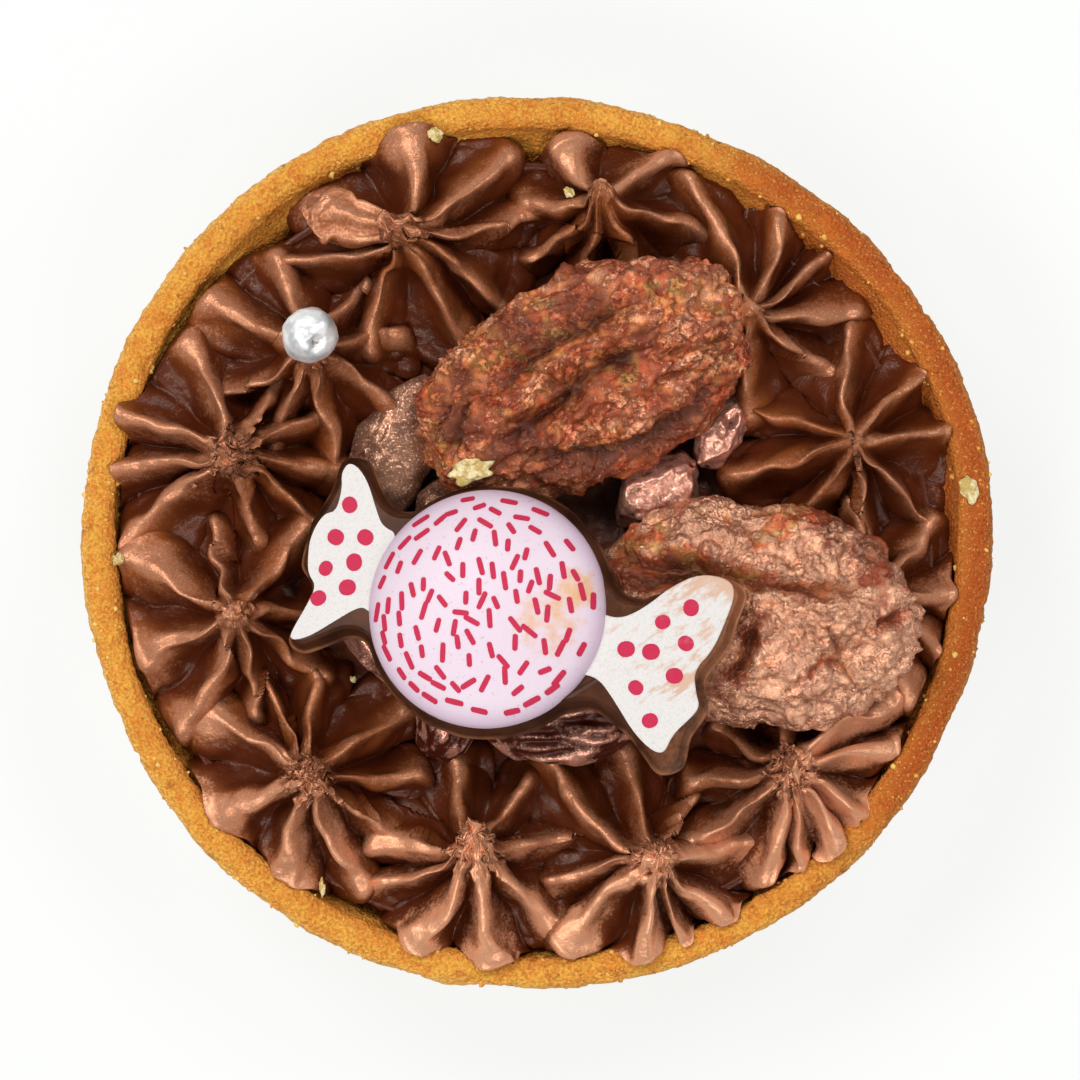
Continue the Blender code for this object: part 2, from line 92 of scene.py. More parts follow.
STARS = [
    ((-10.5, 27.4), (-3.4, 0.9), 1.5, 0.4, [
        (96, 9.9, -6, 1.7, 20.6), (41.6, 10.4, 14, 1.2, 19.3), (13.5, 9.6, -22, 1.0, 19.0),
        (-39.8, 9.3, 8, 0.8, 19.2), (-65.7, 10.5, -8, 0.8, 18.8), (-112.6, 10.5, -18, 1.1, 18.9),
        (-168.9, 11.4, 18, 1.0, 19.2), (-204, 10.6, 10, 1.3, 18.2)]),
    ((5.9, 29.9), (0.0, 2.2), 1.1, 0.55, [
        (118.6, 6.4, 10, 2.2, 20.2), (34.4, 8.2, 12, 1.0, 19.2), (-14.8, 10.1, 10, 0.9, 18.8),
        (-62, 7.4, 0, 0.9, 18.4), (-107, 6.4, 0, 0.9, 18.6), (-141.7, 7.0, 0, 0.9, 18.9),
        (175.6, 6.6, 0, 1.0, 19.0)]),
    ((18.8, 20.3), (0.2, 0.3), 0.8, 0.4, [
        (114.5, 13.1, -18, 1.0, 19.2), (72.6, 9.6, -24, 1.1, 19.2), (38, 9.2, -8, 1.0, 18.6),
        (3.4, 9.2, 4, 1.1, 18.8), (-34, 9.0, 6, 1.2, 18.8), (-86.5, 8.7, -4, 1.1, 19.0),
        (-132, 9.0, 0, 1.0, 18.6), (176, 9.0, 0, 1.0, 18.6)]),
    ((28.4, 9.0), (0.1, 0.2), 0.9, 0.25, [
        (90, 9.5, 4, 0.8, 19.0), (43, 9.0, 6, 0.8, 19.0), (7.3, 8.0, -8, 0.8, 19.4),
        (-46, 8.9, 4, 0.8, 18.8), (-81.6, 8.0, 4, 0.7, 18.6), (-125.8, 8.4, 6, 0.8, 18.4),
        (-165, 10.8, -10, 0.9, 18.8), (162, 8.2, -6, 0.9, 19.4)]),
    ((30.6, -5.0), (0.0, 0.0), 0.8, 0.5, [
        (53.5, 8.1, 6, 0.9, 18.6), (4.5, 6.3, 12, 1.4, 19.4), (-36, 6.6, 6, 1.2, 19.2),
        (-72, 9.4, 8, 1.3, 19.0), (-110, 8.4, 0, 1.0, 18.4), (-150, 8.6, 0, 1.0, 18.6),
        (165, 8.6, 0, 1.0, 18.6), (106, 8.4, 0, 0.9, 18.4)]),
    ((22.6, -20.5), (0.3, 0.9), 2.2, 0.9, [
        (35, 11.4, 6, 1.5, 19.2), (12, 9.8, 4, 1.4, 19.2), (-34, 8.2, 0, 1.5, 19.4),
        (-59, 9.1, 4, 1.7, 19.7), (-82, 8.6, 2, 1.2, 19.4), (-104, 9.3, 0, 1.2, 19.2),
        (-143, 10.6, 12, 1.4, 19.2), (-176, 8.2, 0, 1.0, 18.6), (145, 6.8, 6, 0.9, 18.6),
        (94, 7.6, 0, 0.9, 18.6)]),
    ((10.4, -28.5), (0.6, 0.9), 1.8, 0.85, [
        (135.6, 12.6, 24, 1.0, 18.8), (102.6, 9.6, 4, 0.9, 18.6), (56, 5.6, 8, 0.9, 17.8),
        (8, 8.4, 0, 0.9, 18.2), (-34.4, 8.8, -6, 1.6, 19.4), (-63, 8.6, 4, 1.0, 19.3),
        (-91, 9.4, 2, 1.7, 20.3), (-137.8, 11.1, -8, 1.6, 19.8), (-165.5, 8.9, -6, 1.0, 19.4)]),
    ((-5.5, -28.9), (0.2, 4.6), 1.9, 0.95, [
        (99, 9.4, 10, 0.9, 18.4), (56.5, 8.4, 8, 0.9, 18.6), (15.3, 8.0, 8, 1.0, 18.8),
        (-36.9, 8.6, 4, 1.1, 19.3), (-78, 9.2, -4, 1.7, 20.2), (-127, 9.2, 4, 1.6, 20.0),
        (-168.8, 8.0, -6, 1.0, 19.4), (166, 8.4, -12, 1.0, 19.4)]),
    ((-20.2, -20.9), (0.2, 0.5), 2.1, 0.6, [
        (85, 9.0, 4, 1.0, 19.0), (34.3, 10.2, 8, 0.9, 18.8), (2, 9.2, -6, 0.9, 18.8),
        (-39, 9.8, 4, 1.2, 19.0), (-64.6, 10.4, -12, 1.2, 19.0), (-102, 9.2, -4, 1.8, 19.6),
        (-155, 9.4, 4, 1.7, 19.6), (148.6, 11.0, 6, 1.5, 19.4), (116, 8.8, 4, 0.8, 18.6)]),
    ((-26.5, -6.4), (0.1, 0.3), 1.3, 0.45, [
        (106, 7.8, 2, 0.9, 19.2), (52.5, 9.6, -2, 1.0, 19.0), (1.5, 6.6, 6, 0.7, 19.2),
        (-36, 8.8, 6, 1.1, 18.6), (-85.4, 8.8, 14, 1.1, 18.8), (-117.8, 11.1, 6, 1.5, 19.4),
        (-157, 9.2, -6, 1.6, 19.6), (149.8, 11.3, 10, 1.8, 19.8)]),
    ((-26.9, 8.05), (-0.3, -0.8), 2.4, 0.45, [
        (162.3, 11.1, -8, 1.3, 20.4), (113.5, 10.4, 4, 1.1, 19.2), (60, 8.6, 0, 0.9, 18.4),
        (24, 8.8, 0, 0.9, 18.6), (-9.4, 8.5, 4, 1.0, 18.8), (-39, 9.3, 6, 0.9, 18.6),
        (-75, 7.6, 4, 0.9, 18.8), (-139.8, 12.8, -12, 1.1, 19.0), (-172, 10.9, 10, 1.1, 19.5)]),
    ((-19.6, 16.7), (-0.2, 0.8), 1.4, 0.4, [
        (112, 8.7, -6, 1.0, 19.0), (57.6, 7.4, 8, 0.9, 18.6), (14, 7.0, 0, 0.8, 18.2),
        (-34, 9.2, 12, 1.2, 18.8), (-78.4, 9.5, 2, 0.9, 18.6), (-117, 8.7, -6, 1.0, 18.8),
        (-162, 9.8, 8, 1.1, 19.2), (151, 10.4, -8, 1.6, 19.6)]),
]
PEAK_TOP = 24.3  # before the nub on it
STAR_FOOT = 14.5  # height of the stars' underside

# ---------------------------------------------------------------- nuts, pearl and plaque

# Centre, half sizes and (yaw, pitch, roll) of each candied pecan half.
PECANS = {
    "pecan_1": ((4.35, 14.3, 21.1), (15.4, 9.1, 5.0), (24.5, 5, 11)),
    "pecan_2": ((19.3, -6.3, 21.6), (14.3, 9.7, 4.8), (-8, 3, -4)),
}
# On each pecan, in the tart's plan: its furrows as (line, half width, depth share), and where its coat
# turns olive and orange like embers, and where it is dark, which is plum in places and painted shade along
# the lower side and in the gaps.
PECAN_MARKS = {
    "pecan_1": {
        "furrows": [
            ([(-4.7, 12.2), (-2.2, 15.1), (1.0, 17.7), (3.5, 18.9), (6.2, 20.4), (8.1, 21.4)], 0.9, 1.1),
            ([(-3.8, 8.4), (-2.2, 9.1), (1.0, 10.9), (3.9, 14.1), (6.0, 15.6), (8.1, 16.2),
              (10.2, 17.0)], 0.8, 1.3),
            ([(10.4, 15.8), (14.2, 17.5), (18.0, 18.1)], 0.4, 0.7),
            ([(9.8, 13.5), (13.1, 14.7), (17.3, 16.4)], 0.35, 0.5),
            ([(-2.6, 6.8), (1.4, 7.4), (6.2, 6.8), (10.6, 8.6), (15.0, 12.4), (17.3, 14.3)], 0.7, 0.9),
            ([(-7.6, 7.5), (-7.0, 10.5), (-5.9, 13.2)], 0.5, 1.0),
            ([(-9.2, 8.5), (-8.4, 10.8), (-7.6, 12.4)], 0.4, 0.9),
        ],
        "olive": [(1.0, 19.8), (-2.6, 14.9), (7.5, 15.6), (11.7, 22.1), (1.4, 18.2), (-3.7, 17.3),
                  (-8.5, 8.4)],
        "ember": [(1.6, 14.1), (7.3, 19.3), (15.9, 15.8), (6.4, 8.0), (16.3, 21.4), (-6.6, 15.1),
                  (1.4, 12.4), (-8.0, 11.5)],
        # the first seven spots run along the lower side and the left end, where they paint shade
        "plum": [(-6.5, 9.5), (-3.0, 7.5), (2.0, 6.5), (5.5, 6.5), (9.5, 7.0), (13.0, 10.5), (-7.5, 13.0),
                 (3.9, 21.4), (3.1, 12.2), (8.9, 16.8), (0.5, 8.9), (-1.1, 18.5), (12.0, 8.5), (8.0, 5.5),
                 (16.0, 12.0)],
    },
    "pecan_2": {
        "furrows": [
            ([(6.0, -0.3), (9.7, -1.7), (13.1, -1.7), (17.2, -2.7), (22.2, -3.6), (26.0, -4.0),
              (29.9, -3.4)], 0.7, 1.1),
            ([(7.7, -3.4), (11.2, -3.0), (15.6, -2.8), (18.3, -3.8)], 0.7, 1.1),
            ([(17.2, -12.3), (18.7, -9.2), (19.5, -7.3)], 0.6, 1.2),
            ([(29.7, -7.7), (31.4, -6.9), (33.0, -6.1)], 0.5, 1.0),
            ([(23.7, -12.1), (25.3, -10.0), (27.6, -11.1), (28.0, -12.7)], 0.3, 0.6),
            ([(25.7, -6.9), (26.4, -8.8), (28.0, -10.4)], 0.3, 0.5),
        ],
        "olive": [(10.6, 1.0), (8.1, 0.8), (20.8, 1.2), (21.8, 2.0), (12.9, -2.3)],
        "ember": [(17.4, -3.0), (16.5, -7.6), (18.5, -6.8), (28.3, -11.5)],
        "plum": [(10.2, -2.7), (8.3, -2.2), (16.8, -11.9), (19.0, -7.5), (25.1, 2.4), (28.9, 0.2),
                 (31.4, -1.6)],
    },
}
# Place, half sizes, yaw, depth of the grain, paleness and how broken each bronzed nut is. They lie on the
# filling.
NUTS = {
    "nut_1": ((-12.5, 8.1), (7.6, 3.6, 2.4), 64, 0.06, 0.75, 0.3),
    "nut_2": ((-8.2, 0.0), (6.0, 2.6, 2.6), 95, 0.06, 0.7, 0.3),
    "nut_3": ((10.9, 4.6), (4.5, 3.1, 2.9), 30, 0.22, 1.0, 0.7),
    "nut_4": ((16.4, 9.9), (3.6, 2.3, 2.4), 62, 0.22, 1.0, 0.7),
    "nut_5": ((-7.0, -14.2), (5.7, 3.1, 2.9), 67, 0.40, 0.35, 0.4),
    "nut_6": ((2.2, -15.8), (7.6, 4.0, 3.2), 3, 0.42, 0.35, 0.3),
    "nut_7": ((-13.4, -8.6), (5.5, 3.2, 2.7), -45, 0.25, 0.65, 0.5),
}
PEARL_CENTRE = (-19.8, 18.2, 25.2)
PEARL_RADIUS = 2.45

PLAQUE_CENTRE = (-3.8, -6.2, 23.6)
PLAQUE_TURN = (-18.7, 11.0, -5.0)
DISC_RADIUS = 11.3
WING_OPENING = math.radians(33)
PLAQUE_THICKNESS = 2.9
WING_FALL = 0.13  # how much lower the wings' face gets with each millimetre outwards
DOME_RADIUS = 10.55
DOME_CENTRE = 2.6  # height of the dome's middle level over the plaque's underside
DOME_HEIGHT = 3.7
DASH_WIDTH = 0.48
DASH_LENGTHS = (1.2, 1.8)
DASH_SPACING = 1.1
# Outlines on the plaque's own face, clockwise: (along, across, rounding) for the wings' mould, and (along,
# across) for the icing on them.
RIGHT_WING = [
    (11.6, 4.8, 1.9), (17.8, 9.6, 2.0), (21.0, 9.3, 1.3), (21.0, 3.6, 1.6), (19.9, 0.5, 0.9),
    (21.2, -2.2, 1.1), (20.4, -4.9, 0.9), (20.8, -7.7, 1.1), (19.0, -9.0, 1.2), (15.4, -6.6, 3.0),
    (11.5, -5.1, 1.9),
]
LEFT_WING = [
    (-10.3, -5.4, 1.9), (-12.4, -7.2, 2.0), (-14.6, -8.9, 1.2), (-16.7, -8.8, 1.1), (-16.1, -5.2, 0.9),
    (-15.8, -3.0, 0.8), (-17.6, -1.7, 1.1), (-18.1, 2.1, 2.0), (-17.3, 5.6, 1.0), (-17.3, 9.0, 1.1),
    (-14.9, 9.3, 1.2), (-12.4, 6.8, 2.2), (-10.4, 5.3, 1.9),
]
RIGHT_ICING = [
    (9.2, 2.9), (11.3, 2.8), (13.0, 4.4), (14.6, 7.0), (16.6, 9.0), (19.2, 9.4), (20.1, 8.4), (20.1, 5.9),
    (19.9, 3.0), (18.9, 0.8), (19.8, -1.1), (20.4, -1.9), (20.2, -2.9), (19.0, -5.1), (18.9, -7.3),
    (16.2, -6.4), (13.1, -3.8), (11.2, -2.5), (9.2, -2.9),
]
LEFT_ICING = [
    (-9.6, 3.6), (-11.3, 3.8), (-12.2, 4.7), (-14.3, 7.5), (-16.2, 8.5), (-16.6, 7.3), (-16.0, 6.0),
    (-15.8, 3.8), (-16.9, 3.3), (-17.3, 1.0), (-16.8, -0.9), (-16.3, -2.1), (-15.2, -2.9),
    (-15.4, -4.7), (-15.9, -7.2), (-15.9, -8.2), (-14.4, -7.4), (-12.6, -5.3), (-11.1, -3.6),
    (-10.3, -3.3), (-9.5, -3.8),
]
ICING_DOTS = [
    (-14.9, 4.8), (-15.1, 1.7), (-12.5, 2.5), (-15.0, -1.2), (-12.7, 0.1), (-12.5, -2.2), (-14.7, -3.9),
    (16.9, 5.9), (15.0, 3.9), (17.5, 2.8), (12.8, 0.6), (14.9, 1.1), (17.5, -0.2), (14.7, -2.3),
    (16.8, -4.6),
]
DOT_RADIUS = 0.68


# ---------------------------------------------------------------- settings a user would change


def length(name, description, millimetres):
    return FloatProperty(name=name, description=description, default=millimetres * MM, unit="LENGTH")


def colour(name, description, *default):
    return FloatVectorProperty(name=name, description=description, subtype="COLOR", default=default)


class CrustSettings(bpy.types.PropertyGroup):
    radius: length("Rim radius", "Radius of the rim before it is made out of round", 40.5)
    height: length("Height", "Height of the rim", 19.0)
    grain: length("Grain", "How far the sandy grains stand out", 0.075)
    gold: colour("Gold", "Colour of the pale baked grains", 0.81, 0.40, 0.054)
    amber: colour("Amber", "Colour of the darker baked grains", 0.72, 0.24, 0.027)


class GanacheSettings(bpy.types.PropertyGroup):
    groove: length("Groove depth", "Depth of the piped grooves", 3.8)
    # painted shade: the ganache's colour in its grooves and on faces turned away from the top, beside milk,
    # its lit colour
    groove_shade: colour("Deep", "Colour of the ganache in its grooves", 0.088, 0.016, 0.004)
    milk: colour("Milk", "Colour of the ganache where it is lit", 0.29, 0.080, 0.020)
    bronze: colour("Bronze", "Colour of the dust on the ridges", 0.60, 0.255, 0.135)


class NutSettings(bpy.types.PropertyGroup):
    wrinkle: length("Wrinkle", "Depth of the pecans' furrows", 1.25)
    caramel: colour("Caramel", "Colour of the candied coat", 0.58, 0.105, 0.036)
    copper: colour("Copper", "Colour of the copper dust", 1.0, 0.545, 0.345)
    rosy: colour("Rosy bronze", "Colour of the dust on the small nuts", 0.74, 0.34, 0.24)


class PlaqueSettings(bpy.types.PropertyGroup):
    dashes: IntProperty(name="Dashes", description="How many dashes are printed on the dome", default=104)
    chocolate: colour("Chocolate", "Colour of the moulded border", 0.034, 0.010, 0.0045)
    pink: colour("Pink", "Colour of the dome", 0.75, 0.63, 0.705)
    crimson: colour("Crimson", "Colour of the dashes and dots", 0.52, 0.014, 0.06)


class StageSettings(bpy.types.PropertyGroup):
    camera_height: length("Camera height", "Height of the camera over the table", 520)
    view_width: length("View width", "Width that the camera sees at the rim's level", 96)
    light: FloatProperty(name="Light", description="Strength of the soft lights", default=1.08)


# ---------------------------------------------------------------- finishes made of nodes

COLOUR_A, COLOUR_B, COLOUR_MIXED = 6, 7, 2  # a Mix node's sockets for colours


class Signal:
    """A number that runs through a finish's nodes and can be written in sums."""

    def __init__(self, finish, socket):
        self.finish = finish
        self.socket = socket

    def _maths(self, operation, *values):
        return self.finish.node("ShaderNodeMath", {"operation": operation}, dict(enumerate(values)))

    def __add__(self, other):
        return self._maths("ADD", self, other)

    def __sub__(self, other):
        return self._maths("SUBTRACT", self, other)

    def __rsub__(self, other):
        return self._maths("SUBTRACT", other, self)

    def __mul__(self, other):
        return self._maths("MULTIPLY", self, other)

    __radd__ = __add__

    def over(self, other):
        return self._maths("MAXIMUM", self, other)

    def between(self, low, high):
        """0 where this is under low, 1 where it is over high, easing between."""
        inputs = {"Value": self, "From Min": low, "From Max": high}
        return self.finish.node("ShaderNodeMapRange", {"interpolation_type": "SMOOTHSTEP"}, inputs)


class Finish:
    """One procedural finish, built on a Principled shader."""

    def __init__(self, name, **constants):
        self.material = bpy.data.materials.new(name)
        self.material.use_nodes = True
        self.nodes = self.material.node_tree.nodes
        self.links = self.material.node_tree.links
        self.shader = self.nodes["Principled BSDF"]
        self.place = self.nodes.new("ShaderNodeTexCoord").outputs["Object"]
        self.base = (1.0, 1.0, 1.0)
        for socket, value in constants.items():
            self.shader.inputs[socket.replace("_", " ")].default_value = value

    def feed(self, socket, value):
        if isinstance(value, Signal):
            value = value.socket
        if isinstance(value, bpy.types.NodeSocket):
            self.links.new(value, socket)
        elif socket.type == "RGBA":
            socket.default_value = (*value, 1.0)
        else:
            socket.default_value = value

    def node(self, kind, settings=None, inputs=None, output=0):
        """Adds a node, sets its options first and its sockets after, and gives back one output."""
        made = self.nodes.new(kind)
        for name, value in (settings or {}).items():
            setattr(made, name, value)
        for name, value in (inputs or {}).items():
            self.feed(made.inputs[name], value)
        return Signal(self, made.outputs[output])

    def grain(self, size, detail=2.0, rough=0.5, place=None):
        """Noise from 0 to 1 with lumps of this size in millimetres."""
        inputs = {"Vector": place or self.place, "Scale": 0.5 / (size * MM), "Detail": detail,
                  "Roughness": rough}
        return self.node("ShaderNodeTexNoise", None, inputs)

    def cells(self, size):
        """Distances from 0 to about 1 in cells of this size in millimetres."""
        inputs = {"Vector": self.place, "Scale": 1.0 / (size * MM)}
        return self.node("ShaderNodeTexVoronoi", None, inputs, "Distance")

    def turned(self, location=(0, 0, 0), rotation=(0, 0, 0), scale=(1, 1, 1)):
        """The object's coordinates centred, turned and stretched by a Mapping node."""
        inputs = {"Vector": self.place, "Location": location, "Rotation": rotation, "Scale": scale}
        return self.node("ShaderNodeMapping", {"vector_type": "TEXTURE"}, inputs, "Vector")

    def axis(self, name, place=None):
        return self.node("ShaderNodeSeparateXYZ", None, {"Vector": place or self.place}, name)

    def mark(self, name):
        """A number that the piece's mesh carries on its vertices."""
        return self.node("ShaderNodeAttribute", {"attribute_name": name}, None, "Fac")

    def facing_up(self):
        normal = self.nodes.new("ShaderNodeNewGeometry").outputs["Normal"]
        return self.axis("Z", normal)

    def mix(self, share, first, second):
        """A colour between two colours."""
        made = self.nodes.new("ShaderNodeMix")
        made.data_type = "RGBA"
        self.feed(made.inputs["Factor"], share)
        self.feed(made.inputs[COLOUR_A], first)
        self.feed(made.inputs[COLOUR_B], second)
        return made.outputs[COLOUR_MIXED]

    def lay(self, share, laid):
        """Lays a colour over the base colour."""
        self.base = self.mix(share, self.base, laid)

    def relief(self, height, depth):
        """Bumps of this depth in millimetres, from a height between 0 and 1."""
        inputs = {"Height": height, "Distance": depth * MM, "Strength": 1.0}
        self.feed(self.shader.inputs["Normal"], self.node("ShaderNodeBump", None, inputs, "Normal"))

    def done(self, **values):
        """Feeds the base colour and these values to the shader, and gives back the material."""
        for socket, value in {"Base_Color": self.base, **values}.items():
            self.feed(self.shader.inputs[socket.replace("_", " ")], value)
        return self.material


def crust_finish(settings):
    """Sandy baked shortcrust: gold and amber grains, paler at the outer edge, with painted shade that makes
    one side redder and darker, the inner side darker and the gaps between grains dark; pale specks carry
    painted glints.
    """
    f = Finish("sandy_shortcrust", Specular_IOR_Level=0.25)
    sand = f.cells(0.34)
    fine = f.grain(0.16, 2.0, 0.6)
    coarse = f.grain(0.8, 3.0, 0.6)
    patches = f.grain(6.0, 2.0, 0.5)
    side = f.axis("X") * 24.0 + f.axis("Y") * 3.0 + patches * 1.1
    wall = f.axis("Z").between(17.0 * MM, 13.0 * MM)
    foot = f.axis("Z").between(7.0 * MM, 0.0)
    pale_specks_and_glints = f.grain(0.13, 2.0, 0.7)
    browned = f.grain(1.3, 4.0, 0.7)
    flecks = f.grain(0.6, 2.0, 0.7, f.turned((0.01, 0.02, 0.0)))
    f.base = f.mix((fine * 0.6 + coarse * 0.4).between(0.40, 0.58), settings.amber, settings.gold)
    # painted shade: the side towards +X is laid darker and redder, and its outer edge is less pale
    f.lay(side.between(0.75, 1.40) * 0.97, (0.40, 0.068, 0.007))
    # painted shade on the inner side of the rim, darker and redder
    f.lay(f.mark("inner_side") * 0.6, (0.58, 0.19, 0.025))
    f.lay(f.mark("outer_edge") * (0.3 + coarse * 0.6) * (1.2 - side * 0.5), (0.94, 0.56, 0.15))
    f.lay(wall * 0.55, (0.76, 0.27, 0.030))
    f.lay(wall * patches.between(0.4, 0.62) * 0.45, (0.58, 0.17, 0.018))
    f.lay(foot * 0.55, (0.50, 0.16, 0.020))
    # painted shade in the gaps between the sandy grains
    f.lay(sand.between(0.45, 0.75) * 0.35, (0.36, 0.10, 0.012))
    # pale sugar specks, which also carry painted glints of the sugar
    f.lay(pale_specks_and_glints.between(0.55, 0.72) * 0.45, (1.0, 0.62, 0.16))
    f.lay(browned.between(0.50, 0.68) * 0.45, (0.62, 0.15, 0.016))
    f.lay(flecks.between(0.64, 0.74) * 0.6, (0.38, 0.085, 0.012))
    f.relief((1.0 - sand) * 0.45 + fine * 0.55, 0.40)
    return f.done(Roughness=0.60 + fine * 0.3)


def ganache_finish(settings):
    """Milk chocolate ganache, glossy in its grooves and brushed with bronze on its ridges; its grooves and
    the faces turned from the top are painted in a shaded colour.
    """
    f = Finish("piped_ganache", Specular_IOR_Level=0.34, Specular_Tint=(1.0, 0.84, 0.74, 1.0))
    # dusting is each star's bronze dust, faded towards the tart's middle as painted shadow
    crest, hollow, dusting = (f.mark(each) for each in ("crest", "hollow", "dusting"))
    up = f.facing_up()
    broad = f.grain(4.0, 2.0)
    soft = f.grain(0.9, 3.0, 0.6)
    dust = f.grain(0.15, 2.0, 0.7)
    glint = f.grain(0.09, 1.0)
    powder = (crest * (0.58 + dusting * 0.37) + up.between(0.4, 0.9) * dusting * (1.1 - hollow * 1.1)
              + (broad - 0.5) * 0.9 + (soft - 0.5) * 0.9 + (dust - 0.5) * 1.1).between(0.20, 1.0)
    # painted shade: the lit milk colour on faces turned up, the shaded colour in grooves and on faces
    # turned away
    f.base = f.mix(up.between(0.0, 0.8) * (1.0 - hollow), settings.groove_shade, settings.milk)
    dusty = f.mix(dusting.between(0.3, 0.9), settings.bronze, (0.86, 0.405, 0.225))
    f.lay(powder * (0.72 + dusting * 0.22), dusty)
    f.lay(glint.between(0.60, 0.70) * powder * 0.45, (0.95, 0.62, 0.45))
    f.relief(dust * 0.45 + soft * 0.55, 0.12)
    return f.done(Roughness=0.30 + powder * 0.08, Metallic=powder * 0.5)


def pecan_finish(name, settings, foil):
    """Candied pecan under copper dust; foil says how much of it shines like crumpled leaf. Shade is painted
    into its furrows, creases, sugar pits and underside, and along its lower side; glints are painted on its
    sugar.
    """
    f = Finish(name, Specular_IOR_Level=0.45, Specular_Tint=(1.0, 0.80, 0.66, 1.0))
    furrow, olive, ember, plum = (f.mark(each) for each in ("furrow", "olive", "ember", "plum"))
    patches = f.grain(2.4, 2.0, 0.55)
    sugar = f.grain(0.20, 3.0, 0.7)
    beads = f.grain(0.6, 2.0, 0.6)
    glint = f.grain(0.14, 1.0)
    crinkle = f.grain(0.8, 3.0, 0.65)
    crinkle = (crinkle - 0.5).over(0.5 - crinkle) * 3.0
    amber = (patches * 0.5 + beads * 0.5).between(0.40, 0.60)
    f.base = f.mix(amber, settings.caramel, (0.90, 0.26, 0.075))
    f.lay(ember * beads.between(0.35, 0.6) * 0.55, (0.86, 0.31, 0.05))
    f.lay(olive * beads.between(0.42, 0.58) * 0.75, (0.50, 0.30, 0.07))
    # dark plum patches, and painted shade along the lower side and in the gaps
    f.lay(plum * patches.between(0.25, 0.55) * 0.85, (0.14, 0.018, 0.007))
    leaf = sugar * 0.9 + beads * 0.6 + (patches - 0.5) * 0.6 - furrow * 0.8 - plum * 0.35 - olive * 0.4
    leaf = leaf.between(0.58 - 0.32 * foil, 0.92 - 0.20 * foil)
    f.lay(leaf * (0.55 + 0.35 * foil), settings.copper)
    # painted shade in the creases of the crinkle
    f.lay((1.0 - crinkle.between(0.0, 0.4)) * (0.70 - 0.20 * foil), (0.09, 0.015, 0.006))
    # painted shade in the pits of the sugar
    f.lay(sugar.between(0.50, 0.36) * (0.5 - 0.3 * foil), (0.13, 0.022, 0.008))
    # painted glints on the tops of the sugar grains
    f.lay(sugar.between(0.56, 0.70) * (0.45 - plum * 0.2), (1.0, 0.56, 0.38))
    # painted shade, near black, in the furrows and on the underside
    f.lay(furrow * 0.85, (0.045, 0.010, 0.006))
    f.lay(glint.between(0.64, 0.74) * leaf * 0.7, (1.0, 0.64, 0.46))
    f.relief(sugar * 0.50 + beads * 0.25 + crinkle * 0.25, 0.48 + 0.08 * foil)
    return f.done(Roughness=0.16 + leaf * 0.06 + sugar * 0.12, Metallic=leaf * (0.65 + 0.1 * foil))


def nut_finish(settings):
    """Small nuts with lengthwise grain, brushed with rosy bronze."""
    f = Finish("rosy_bronzed_nut", Specular_IOR_Level=0.3, Specular_Tint=(1.0, 0.75, 0.62, 1.0))
    crest = f.mark("crest")
    patches = f.grain(2.4, 2.0)
    dust = f.grain(0.2, 2.0, 0.7)
    glint = f.grain(0.1, 1.0)
    powder = (crest * 0.8 + f.facing_up().between(0.2, 0.95) * 0.2 + (patches - 0.5) * 0.9
              + (dust - 0.5) * 0.9).between(0.25, 1.0)
    coat = f.mix(f.mark("blush"), (0.36, 0.175, 0.105), settings.rosy)
    f.base = f.mix(powder, (0.06, 0.010, 0.005), coat)
    f.lay(glint.between(0.60, 0.68) * powder * 0.8, (0.92, 0.62, 0.48))
    f.relief(dust, 0.06)
    return f.done(Roughness=0.32, Metallic=powder * 0.7)


def plaque_finish(settings):
    """Moulded chocolate, satin, rubbed with bronze at its right end, with a painted highlight along the lip
    at its foot.
    """
    f = Finish("moulded_chocolate", Specular_IOR_Level=0.22, Specular_Tint=(1.0, 0.82, 0.72, 1.0))
    cloud = f.grain(2.6, 3.0, 0.6)
    dust = f.grain(0.18, 2.0, 0.7)
    copper = (f.axis("X") * 60.0 - 0.25 + (cloud - 0.5) * 1.2 + (dust - 0.5) * 0.7).between(0.2, 1.1)
    f.base = f.mix(cloud.between(0.35, 0.65), settings.chocolate, (0.085, 0.028, 0.012))
    f.lay(copper * 0.75, (0.40, 0.155, 0.072))
    # painted highlight: a lighter copper line along the lip at the foot
    lip = f.mark("rise").between(0.36, 0.2) * cloud.between(0.4, 0.7) * 0.6
    f.lay(lip, (0.42, 0.165, 0.075))
    f.relief(cloud * 0.6 + dust * 0.4, 0.05)
    return f.done(Roughness=0.4, Metallic=copper * 0.35)


def dome_finish(settings):
    """Pink printed dome with fine specks, painted shade at its edge and a smear of gold dust towards one
    side.
    """
    f = Finish("pink_print", Specular_IOR_Level=0.4)
    rim = f.mark("rim")
    specks = f.grain(0.17, 2.0, 0.6)
    mottle = f.grain(0.5, 2.0)
    smear = f.mark("smear")
    f.base = f.mix(mottle * 0.35, settings.pink, (0.72, 0.55, 0.66))
    # painted shade around the dome's steep edge
    f.lay(rim * 0.45, (0.62, 0.42, 0.60))
    f.lay(specks.between(0.64, 0.74) * 0.5, (0.42, 0.24, 0.30))
    dusting = (smear + (f.grain(0.6, 3.0, 0.65) - 0.5) * 1.5).between(0.35, 1.2)
    f.lay(dusting * 0.95, (0.74, 0.40, 0.16))
    f.relief(mottle, 0.02)
    return f.done(Roughness=0.45)


